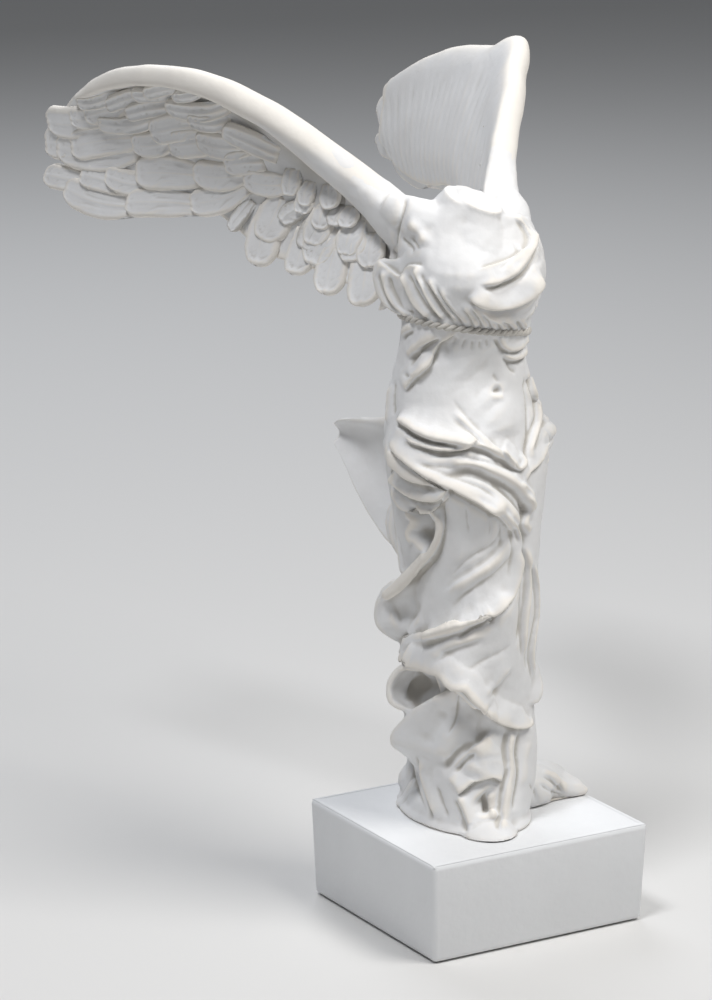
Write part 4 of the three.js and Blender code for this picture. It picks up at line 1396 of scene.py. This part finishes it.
@dataclass
class Wing:
    """A raised wing: a smooth leading band over a hollow full of layered feathers."""

    name: str
    mirrored: bool = False
    span_steps: int = 190
    chord_steps: int = 70
    feather_thick: float = 1.7
    leading: tuple = (
        (12, 244), (20, 251), (28, 257.5), (38, 265.5), (48, 274), (58, 281.5), (71, 287.5),
        (88, 289.8), (108, 288.3), (128, 284.2), (147, 277.5), (163, 269.5), (172, 263),
    )
    trailing: tuple = (
        (14, 229), (22, 223), (33, 220), (42, 221), (50, 223), (58, 224), (72, 226),
        (84, 232), (98, 237), (117, 234), (138, 232), (160, 234), (175, 242),
    )
    band: tuple = (
        (153, 272), (147, 273), (131, 278), (106, 283), (87, 283), (78.5, 281), (70, 276.5),
        (61, 271), (50.5, 259.5), (38, 248.5), (25, 236), (16, 228),
    )
    root: tuple = (23.0, 13.0, 245.0)
    turn: tuple = (0.011, 0.058, 0.023)

    def reach(self, y: Array, z: Array) -> Array:
        """How far the wing's middle sheet stands out from the figure's middle plane."""
        a, b = (y - 60) / 60, (z - 250) / 30
        return 37.7 + 23.2 * a + 5.2 * b - 3.6 * a ** 2 - 1.7 * a * b + 8.9 * b ** 2

    def at(self, y: Array, z: Array, height: Array) -> Array:
        """Points at a height above the middle sheet, on the outer side where positive."""
        slope_y = self.reach(y + 0.5, z) - self.reach(y - 0.5, z)
        slope_z = self.reach(y, z + 0.5) - self.reach(y, z - 0.5)
        outward = np.stack([-np.ones_like(y), -slope_y, -slope_z], axis=1)
        outward /= np.linalg.norm(outward, axis=1)[:, None]
        points = np.stack([-self.reach(y, z), y, z], axis=1) + height[:, None] * outward
        return self.set_side(points)

    def set_side(self, points: Array) -> Array:
        """Leave the right wing's points, or mirror and turn them for the left wing."""
        if not self.mirrored:
            return points
        cx, cy, cz = (math.cos(v) for v in self.turn)
        sx, sy, sz = (math.sin(v) for v in self.turn)
        turn_x = np.array([[1, 0, 0], [0, cx, -sx], [0, sx, cx]])
        turn_y = np.array([[cy, 0, sy], [0, 1, 0], [-sy, 0, cy]])
        turn_z = np.array([[cz, -sz, 0], [sz, cz, 0], [0, 0, 1]])
        root = np.array(self.root)
        return (points * [-1, 1, 1] - root) @ (turn_x @ turn_y @ turn_z).T + root

    def gap_to(self, line: Array, y: Array, z: Array) -> Array:
        """Distance from places to a polyline."""
        best = np.full(len(y), 1e9)
        here = np.stack([y, z], axis=1)
        for start, end in zip(line[:-1], line[1:]):
            span = end - start
            t = np.clip((here - start) @ span / (span @ span), 0, 1)
            best = np.minimum(best, np.linalg.norm(here - start - t[:, None] * span, axis=1))
        return best

    def band_share(self, y: Array, z: Array) -> tuple[Array, Array]:
        """Where a place lies in the leading band.

        Returns:
            Millimetres in from the band's lower edge, negative below it, and the share of the
            way from the leading edge to the lower edge.
        """
        lower = curve_through(self.band, 1.0)
        upper = curve_through(self.leading, 1.0)
        to_lower, to_upper = self.gap_to(lower, y, z), self.gap_to(upper, y, z)
        order = np.argsort(lower[:, 0])
        above = z > np.interp(y, lower[order, 0], lower[order, 1])
        above &= y < 158
        inside = np.where(above, to_lower, -to_lower)
        return inside, to_upper / (to_upper + to_lower + 1e-6)

    def core(self) -> bpy.types.Object:
        """The wing's blade with its band and hollow."""
        points, faces = self.shell(1.0, 1.0, 1.0)
        piece = new_piece(self.name + "_blade", points, faces)
        face_outward(piece)
        clay = Clay(piece)
        clay.smooth(3, 0.4)
        clay.roughen(11.0, 0.3, 7.0)
        # wide surroundings, so that the painted shade fills the whole hollow under the band
        clay.mark_crests(16)
        shade_smooth(piece)
        return piece

    def ground(self, y: Array, inside: Array) -> Array:
        """Height of the outer face below the band, which dips into a hollow beside it."""
        u = np.clip((y - 12) / 160, 0, 1)
        dip = 3.6 * np.exp(-((inside + 4) / 6.5) ** 2) * smoothstep(1.0, 0.6, u)
        return 2.2 - 1.2 * u ** 0.8 - dip

    def shell(self, reach: float, start: float, end: float) -> tuple[Array, list]:
        """The blade's closed skin.

        Args:
            reach: Share of the span that it covers.
            start: How thick it is at the root, as a share.
            end: The same at its outer end.

        Returns:
            Points and faces.
        """
        leading = resample(curve_through(self.leading, 0.5), self.span_steps + 1)
        trailing = resample(curve_through(self.trailing, 0.5), self.span_steps + 1)

        def corner(u: Array, v: Array, face: float) -> Array:
            """Place a point of the blade."""
            swollen = start + (end - start) * u
            u = u * reach
            row = np.round(u * self.span_steps).astype(int)
            chord = v ** 1.15
            middle = leading[row] + chord[:, None] * (trailing[row] - leading[row])
            y, z = middle.T
            inside, share = self.band_share(y, z)
            spine = 5.6 - 2.4 * u ** 0.7
            blade = 2.2 - 1.2 * u ** 0.8
            edge = np.sqrt(np.clip(1 - (1 - np.clip(v / 0.10, 0, 1)) ** 2, 0, 1))
            if face < 0:
                thick = blade + (spine - blade) * np.exp(-((v - 0.12) / 0.22) ** 2)
                height = -thick * (0.12 + 0.88 * edge) * swollen
                grain = 0.14 * np.sin(170 * (u + 0.10 * v) + 4 * np.sin(9 * u)) * smoothstep(0.2, 0.4, v)
                return self.at(y, z, height * (1 - 0.5 * smoothstep(0.8, 1.0, v)) + grain)
            swell = np.sin(np.pi * np.clip(share, 0, 1) ** 0.8) ** 0.6
            band = (spine + 0.6) * (0.35 + 0.65 * swell)
            hollow = self.ground(y, inside)
            mix = smoothstep(-2.0, 1.6, inside)
            height = hollow + (band - hollow) * mix
            height *= (0.12 + 0.88 * edge) * swollen
            return self.at(y, z, height * (1 - 0.4 * smoothstep(0.8, 1.0, v)))

        return plate(corner, round(self.span_steps * reach), self.chord_steps)

    def blank(self) -> tuple[bpy.types.Mesh, Array]:
        """Model one feather blank: a grid drawn down into a closed slab.

        Returns:
            The mesh, and each point's place along (0..1), across (-1..1) and face (1 or 0).
        """
        bpy.ops.object.select_all(action="DESELECT")
        bpy.ops.mesh.primitive_grid_add(x_subdivisions=18, y_subdivisions=14, size=2.0)
        grid = bpy.context.active_object
        bpy.ops.object.mode_set(mode="EDIT")
        bpy.ops.mesh.select_all(action="SELECT")
        bpy.ops.mesh.extrude_region_move(TRANSFORM_OT_translate={"value": (0, 0, 1.0)})
        bpy.ops.mesh.select_all(action="SELECT")
        bpy.ops.mesh.normals_make_consistent(inside=False)
        bpy.ops.object.mode_set(mode="OBJECT")
        count = len(grid.data.vertices)
        places = np.empty(count * 3)
        grid.data.vertices.foreach_get("co", places)
        places = places.reshape(-1, 3)
        mesh = grid.data
        bpy.data.objects.remove(grid)
        return mesh, np.stack([(places[:, 0] + 1) / 2, places[:, 1], places[:, 2]], axis=1)

    def feather(self, feather: Feather, blank: tuple, order: int) -> bpy.types.Object:
        """Bend one copy of the blank onto the wing.

        Args:
            feather: Where it lies.
            blank: The blank mesh and its coordinates.
            order: Its number, which seeds its unevenness.

        Returns:
            The feather.
        """
        mesh, (along, across, top) = blank[0].copy(), blank[1].T
        tip, base = np.array(feather.tip, float), np.array(feather.base, float)
        length = np.linalg.norm(tip - base)
        ahead = (tip - base) / length
        side = np.array([-ahead[1], ahead[0]]) * feather.lie.value
        round_share = min(0.6, 0.58 * feather.width / length)
        ease = np.sin(np.pi / 2 * along ** 0.9)
        a = 0.35 * along + 0.65 * ease
        past = np.clip((a - (1 - round_share)) / round_share, 0, 1)
        half = feather.width / 2 * (0.72 + 0.28 * smoothstep(0, 0.45, a)) * np.sqrt(1 - past ** 2)
        bow = 0.06 * length * np.sin(np.pi * a) * (1 if order % 2 else -0.4)
        edge = np.maximum(np.abs(across), past)
        y, z = (
            base + (a * length)[:, None] * ahead + (across * half + bow)[:, None] * side
        ).T
        ground = self.ground(y, self.band_share(y, z)[0])
        free = a ** 0.75
        lift = (ground - 0.3) * (1 - free) + 3.4 * free
        crown = 0.55 * (1 - across ** 2) * (1 - past)
        rim = 0.5 * smoothstep(0.6, 0.84, edge) - 1.3 * smoothstep(0.86, 1.0, edge) ** 1.5
        shaft = 0.42 * np.exp(-(across * half / 0.5) ** 2) * (1 - 0.75 * a)
        groove = -0.22 * np.exp(-((np.abs(across * half) - 1.05) / 0.5) ** 2) * (1 - 0.5 * a)
        slant = a * length / 2.9 + np.abs(across * half) * 0.36 + 1.7 * order
        barbs = 0.32 * np.sin(2 * np.pi * slant + 1.4 * np.sin(a * 9 + order)) * (1 - rim)
        barbs *= smoothstep(0.1, 0.3, np.abs(across)) * (0.6 + 0.4 * np.sin(2.1 * a * 5 + order))
        height = lift + crown + rim + shaft + groove + barbs + 0.45 * across
        thick = self.feather_thick * (0.12 + 0.88 * a)
        height = np.where(top > 0.5, height, lift - thick + 0.45 * across)
        mesh.vertices.foreach_set("co", (self.at(y, z, height) * MM).ravel())
        piece = bpy.data.objects.new(f"{self.name}_feather_{order}", mesh)
        bpy.context.scene.collection.objects.link(piece)
        return piece

    def feathers(self) -> bpy.types.Object:
        """All the feathers as one piece."""
        blank = self.blank()
        made = [self.feather(f, blank, i) for i, f in enumerate(PLUMAGE)]
        piece = join(self.name + "_feathers", made)
        face_outward(piece)
        clay = Clay(piece)
        clay.smooth(1, 0.25)
        clay.mark_crests(6)
        shade_smooth(piece)
        return piece


def row(lie: Lie, *feathers: tuple) -> tuple:
    """A row of feathers, each given as (tip y, tip z, base y, base z, width)."""
    return tuple(Feather(f[:2], f[2:4], f[4], lie) for f in feathers)


# All but one of these feathers were printed by another program too; see the note above MASSES.
PLUMAGE = (
    *row(
        Lie.ALONG,
        (183, 239, 154, 238, 10), (170, 236, 129, 235, 11.5), (136, 235, 101, 239, 11.5),
        (105, 239, 79, 250, 11.5), (86, 232, 78, 244, 6.5),
    ),
    *row(
        Lie.DOWN,
        (71, 221, 70, 243, 14), (56, 220, 55, 237, 12), (41, 215, 42, 235, 12),
        (27, 213, 33, 234, 12.5),
    ),
    *row(
        Lie.ALONG,
        (179, 260.5, 140, 268, 12.5), (183, 251, 147, 257, 14.5), (176, 251, 130, 256, 14),
        (162, 242, 133, 240, 10), (148, 244, 121, 244, 10), (132, 247, 98, 250, 14),
        (103, 251, 78, 254, 11.5), (87, 256, 70, 259, 10), (80, 252, 61, 252, 10),
    ),
    *row(
        Lie.DOWN,
        (72, 230, 65, 247, 14.5), (50, 224, 46, 239, 13.5), (36, 227, 38, 239, 10),
        (28, 226, 31, 238, 10),
    ),
    *row(
        Lie.ALONG,
        (167, 252, 126, 261, 13.5), (131, 258, 109, 263, 10), (112, 260, 87, 264, 11.5),
        (97, 264, 74, 264, 10),
    ),
    *row(
        Lie.DOWN,
        (55, 229, 49, 242, 12), (65, 238, 55, 245, 8), (52, 231, 49, 244, 11),
        (38, 229, 37, 242, 9.5),
    ),
    *row(
        Lie.ALONG,
        (119, 264, 94, 269, 11), (96, 272, 79, 272, 6), (82, 270, 64, 261, 8.5),
        (147, 264, 111, 271, 6.5), (128, 270, 105, 274, 6), (104, 276, 78, 276, 6),
    ),
    *row(
        Lie.DOWN,
        (57, 242, 55, 249, 7.5), (49, 237, 48, 246, 8.5), (44, 239, 43, 246, 7.5),
        (39, 239, 39, 246, 7.5), (61, 248, 60, 257, 7), (55, 245, 54, 253, 6),
        (45, 245, 47, 253, 8.5),
    ),
    *row(
        Lie.ALONG,
        (163, 264, 139, 269, 8.5), (153, 266, 130, 271, 8.5), (154, 271, 130, 277, 5),
        (137, 272, 115, 277, 5.5), (118, 279, 96, 281, 4.5), (111, 280, 94, 282, 4.5),
        (96, 281, 85, 281, 3.5),
    ),
)


# ---- the mantle's flying end ---------------------------------------------------------------
@dataclass
class MantleTail:
    """The end of the mantle that flies out behind the hips."""

    upper: tuple = ((-9, 22, 171), (-12, 34, 171.5), (-15, 48, 169), (-17.7, 59.5, 166.5), (-19.6, 65, 163.8))
    lower: tuple = (
        (-8, 20, 118), (-14, 32, 125), (-17, 40, 132), (-19, 49, 142), (-20, 57.5, 152), (-20.4, 64, 157.5),
    )
    thick: float = 3.4
    belly: float = 5.0
    rows: int = 90
    columns: int = 70

    def build(self) -> bpy.types.Object:
        """A hollow sheet with a rolled upper rim and folds fanning from the hip."""
        upper = resample(curve_through(self.upper, 0.5), self.rows + 1)
        lower = resample(curve_through(self.lower, 0.5), self.rows + 1)
        along = np.gradient(upper, axis=0)

        def corner(u: Array, v: Array, face: float) -> Array:
            """Place a point of the sheet."""
            k = np.round(u * self.rows).astype(int)
            middle = upper[k] + v[:, None] * (lower[k] - upper[k])
            outward = np.cross(along[k], lower[k] - upper[k])
            outward /= np.linalg.norm(outward, axis=1)[:, None]
            outward[outward[:, 0] > 0] *= -1
            hollow = self.belly * np.sin(np.pi * v) * np.sin(np.pi * u * 0.8)
            rim = 1.6 * np.exp(-((v - 0.06) / 0.07) ** 2) * smoothstep(1.0, 0.86, u)
            fold = 0.8 * np.sin(6.5 * v * (1.4 - 0.5 * u) + 1.2) * u * (1 - u) * 2.2
            half = self.thick / 2 * (1 - 0.35 * v * u)
            round_off = np.sqrt(np.clip(1 - (1 - np.clip(v / 0.05, 0, 1)) ** 2, 0.05, 1))
            tip = np.sqrt(np.clip(1 - np.clip((u - 0.96) / 0.04, 0, 1) ** 2, 0.35, 1))
            height = face * (half + rim) * round_off * tip + fold - hollow
            return middle + height[:, None] * outward

        points, faces = plate(corner, self.rows, self.columns)
        piece = new_piece("mantle_tail_cloth", points, faces)
        face_outward(piece)
        clay = Clay(piece)
        clay.smooth(3, 0.4)
        clay.roughen(8.0, 0.3, 11.0)
        clay.mark_crests(4)
        shade_smooth(piece)
        return piece


# ---- the plinth ----------------------------------------------------------------------------
@dataclass
class Plinth:
    """The square block, cast and rubbed down by hand so that its edges are soft."""

    corner: float = 1.9
    edge: float = 1.1

    def build(self) -> bpy.types.Object:
        """Model the block over the CAD plinth's own box, with its counterbore left open."""
        low, high = (np.array(v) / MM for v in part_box("plinth"))
        middle, size = (low + high) / 2, high - low
        bpy.ops.object.select_all(action="DESELECT")
        bpy.ops.mesh.primitive_cube_add(size=1.0, location=tuple(middle * MM))
        block = bpy.context.active_object
        block.name = block.data.name = "plinth_block"
        block.scale = tuple(size * MM)
        bpy.ops.object.transform_apply(location=True, rotation=False, scale=True)
        bpy.ops.object.mode_set(mode="EDIT")
        bpy.ops.mesh.select_all(action="DESELECT")
        bpy.ops.object.mode_set(mode="OBJECT")
        for face in block.data.polygons:
            face.select = face.normal.z < -0.5
        bpy.ops.object.mode_set(mode="EDIT")
        bpy.ops.transform.resize(value=(0.971, 0.971, 1.0))
        bpy.ops.object.mode_set(mode="OBJECT")
        for edge in block.data.edges:
            a, b = (block.data.vertices[k].co for k in edge.vertices)
            edge.select = abs(a.z - b.z) > 0.01
        bpy.ops.object.mode_set(mode="EDIT")
        bpy.ops.mesh.select_mode(type="EDGE")
        bpy.ops.mesh.bevel(offset=self.corner * MM, segments=6, profile=0.5)
        bpy.ops.mesh.select_all(action="DESELECT")
        bpy.ops.object.mode_set(mode="OBJECT")
        for edge in block.data.edges:
            edge.select = all(block.data.vertices[k].co.z > (high[2] - 0.1) * MM for k in edge.vertices)
        bpy.ops.object.mode_set(mode="EDIT")
        bpy.ops.mesh.bevel(offset=self.edge * MM, segments=5, profile=0.5)
        bpy.ops.mesh.select_all(action="SELECT")
        bpy.ops.mesh.normals_make_consistent(inside=False)
        bpy.ops.object.mode_set(mode="OBJECT")
        bore = self.counterbore(low[2], high[2])
        self.subtract(block, bore)
        select_only(block)
        bpy.ops.object.shade_smooth_by_angle(angle=math.radians(35))
        return block

    def counterbore(self, bottom: float, top: float) -> bpy.types.Object:
        """The stepped hole under the block for the nut, washer and stud."""
        bpy.ops.object.select_all(action="DESELECT")
        bpy.ops.mesh.primitive_cylinder_add(
            vertices=64, radius=11.0 * MM, depth=14.0 * MM,
            location=(-2.0 * MM, 4.0 * MM, (bottom + 4.1) * MM),
        )
        wide = bpy.context.active_object
        bpy.ops.object.transform_apply(location=True, rotation=False, scale=True)
        bpy.ops.object.select_all(action="DESELECT")
        bpy.ops.mesh.primitive_cylinder_add(
            vertices=48, radius=3.3 * MM, depth=60.0 * MM, location=(-2.0 * MM, 4.0 * MM, 30.0 * MM),
        )
        narrow = bpy.context.active_object
        bpy.ops.object.transform_apply(location=True, rotation=False, scale=True)
        return join("bore", [wide, narrow])

    def subtract(self, block: bpy.types.Object, bore: bpy.types.Object) -> None:
        """Cut the bore out of the block."""
        select_only(block)
        cut = block.modifiers.new("bore", "BOOLEAN")
        cut.operation = "DIFFERENCE"
        cut.solver = "EXACT"
        cut.use_self = True
        cut.object = bore
        bpy.ops.object.modifier_apply(modifier="bore")
        bpy.data.objects.remove(bore)


# ---- the room ------------------------------------------------------------------------------
@dataclass
class Studio:
    """A pale floor, the camera and three soft lamps round the statuette."""

    aim_across: float = -0.031
    aim_up: float = -0.0018
    lens: float = 144.0

    def floor(self) -> None:
        """A wide, flat, plain floor."""
        bpy.ops.object.select_all(action="DESELECT")
        bpy.ops.mesh.primitive_grid_add(x_subdivisions=40, y_subdivisions=40, size=8.0)
        floor = bpy.context.active_object
        floor.name = floor.data.name = "floor"
        material, tree = new_material("matt pale floor")
        shader = add_node(tree, "ShaderNodeBsdfPrincipled", {
            "Base Color": to_linear("#d9d8d6"), "Roughness": 0.9,
        }, {})
        add_node(tree, "ShaderNodeOutputMaterial", {}, {"Surface": shader.outputs["BSDF"]})
        floor.data.materials.append(material)

    def lamp(self, name: str, azimuth: float, elevation: float, reach: float,
             size: float, power: float, colour: str) -> None:
        """Hang one soft square lamp aimed at the statuette's heart.

        Args:
            name: Name of the lamp.
            azimuth: Degrees round from the front, positive towards +X.
            elevation: Degrees above the level.
            reach: Metres from the heart.
            size: Metres along its side.
            power: Watts.
            colour: Six hex digits with a leading hash.
        """
        a, e = math.radians(azimuth), math.radians(elevation)
        back = Vector((math.sin(a) * math.cos(e), -math.cos(a) * math.cos(e), math.sin(e)))
        light = bpy.data.lights.new(name, "AREA")
        light.size = size
        light.energy = power
        light.color = to_linear(colour)[:3]
        lamp = bpy.data.objects.new(name, light)
        lamp.location = Vector(HEART * MM) + back * reach
        lamp.rotation_mode = "QUATERNION"
        lamp.rotation_quaternion = (-back).to_track_quat("-Z", "Y")
        bpy.context.scene.collection.objects.link(lamp)

    def camera(self) -> None:
        """A long lens looking slightly down from the figure's right front."""
        right, rise, back = Side.FRONT_RIGHT.axes
        lens = bpy.data.cameras.new("camera")
        lens.lens = self.lens
        lens.sensor_width = 36.0
        camera = bpy.data.objects.new("camera", lens)
        camera.location = Vector((HEART + back * ARM_REACH) * MM)
        ahead = -back + self.aim_across * right + self.aim_up * rise
        camera.rotation_mode = "QUATERNION"
        camera.rotation_quaternion = Vector(ahead).to_track_quat("-Z", "Y")
        lens.clip_start, lens.clip_end = 0.05, 50.0
        bpy.context.scene.collection.objects.link(camera)
        bpy.context.scene.camera = camera

    def build(self) -> None:
        """Set up the room."""
        self.floor()
        self.camera()
        self.lamp("key", 32.0, 56.0, 1.0, 0.42, 6.8, "#fffdfa")
        self.lamp("rake", -64.0, 64.0, 1.4, 0.3, 9.6, "#fbfcff")
        self.lamp("back", 165.0, 40.0, 1.6, 0.8, 8.0, "#f4f8ff")
        world = bpy.data.worlds.new("studio air")
        world.use_nodes = True
        air = world.node_tree.nodes["Background"]
        air.inputs["Color"].default_value = to_linear("#e9eef5")
        air.inputs["Strength"].default_value = 0.15
        bpy.context.scene.world = world
        bpy.context.scene.view_settings.view_transform = "Standard"


# ---- assembly ------------------------------------------------------------------------------
@dataclass
class Statuette:
    """The whole trophy."""

    figure: DrapedFigure = field(default_factory=DrapedFigure)
    belt: RopeBelt = field(default_factory=RopeBelt)
    wings: tuple = (
        Wing("wing_right"),
        Wing("wing_left", mirrored=True, leading=(
            (12, 244), (20, 251), (28, 257.5), (38, 265.5), (48, 274), (58, 280.5), (68, 285),
            (76, 290), (84, 292.6), (91, 291.5), (97, 288), (108, 286.5), (128, 283.5),
            (147, 277.5), (163, 269.5), (172, 263),
        )),
    )
    tail: MantleTail = field(default_factory=MantleTail)
    plinth: Plinth = field(default_factory=Plinth)

    def dress(self, piece: bpy.types.Object, nodes: list,
              material: bpy.types.Material) -> None:
        """Give a piece its finish, hide the CAD nodes that it replaces and hang it from the root.
            material: Its finish.
        """
        piece.data.materials.clear()
        piece.data.materials.append(material)
        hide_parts(*nodes)
        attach(piece, "root")
        LOG.info("%s: %d faces", piece.name, len(piece.data.polygons))

    def build(self) -> None:
        """Build and dress every piece."""
        # The chalky look comes from high roughness and cream crests; the hollows are darkened with painted
        # shade.
        stone = CastStone("cast marble resin").build()
        # Cooler and more even than the figure, with a coarser grain, no handled crests and no painted shade
        # in its hollows.
        block = CastStone(
            "rubbed plinth stone", body="#e7e8e9", second="#e3e4e5", mottling=30.0, grit=0.6,
            use_crests=False,
        ).build()
        # Metallic and fairly smooth, with a slight mottle in colour and surface.
        steel = PlainMaterial("zinc-plated steel", "#a9adb2", "#8f949b", 1.0, 0.38, 1.5, 0.02)
        # Almost without shine; a fine, deep bump gives the fibres.
        felt = PlainMaterial("pressed wool felt", "#3c4a3f", "#2c382f", 0.0, 0.95, 0.35, 0.12)
        clay = self.figure.build(self.wings)
        skin = clay.tree()
        self.dress(self.belt.build(skin), ["figure_body"], stone)
        for piece in self.figure.split(clay.piece):
            self.dress(piece, ["figure_body"], stone)
        for wing in self.wings:
            self.dress(wing.core(), [wing.name], stone)
            self.dress(wing.feathers(), [wing.name], stone)
        self.dress(self.tail.build(), ["mantle_tail"], stone)
        self.dress(self.plinth.build(), ["plinth"], block)
        metal, pad = steel.build(), felt.build()
        for name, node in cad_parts.items():
            if node.hide_render:
                continue
            node.data.materials.clear()
            node.data.materials.append(pad if name == "felt_pad" else metal)
            LOG.info("%s: CAD piece kept", name)


def main() -> None:
    """Build the statuette and the room round it."""
    Statuette().build()
    Studio().build()


if __name__ == "__main__":
    main()
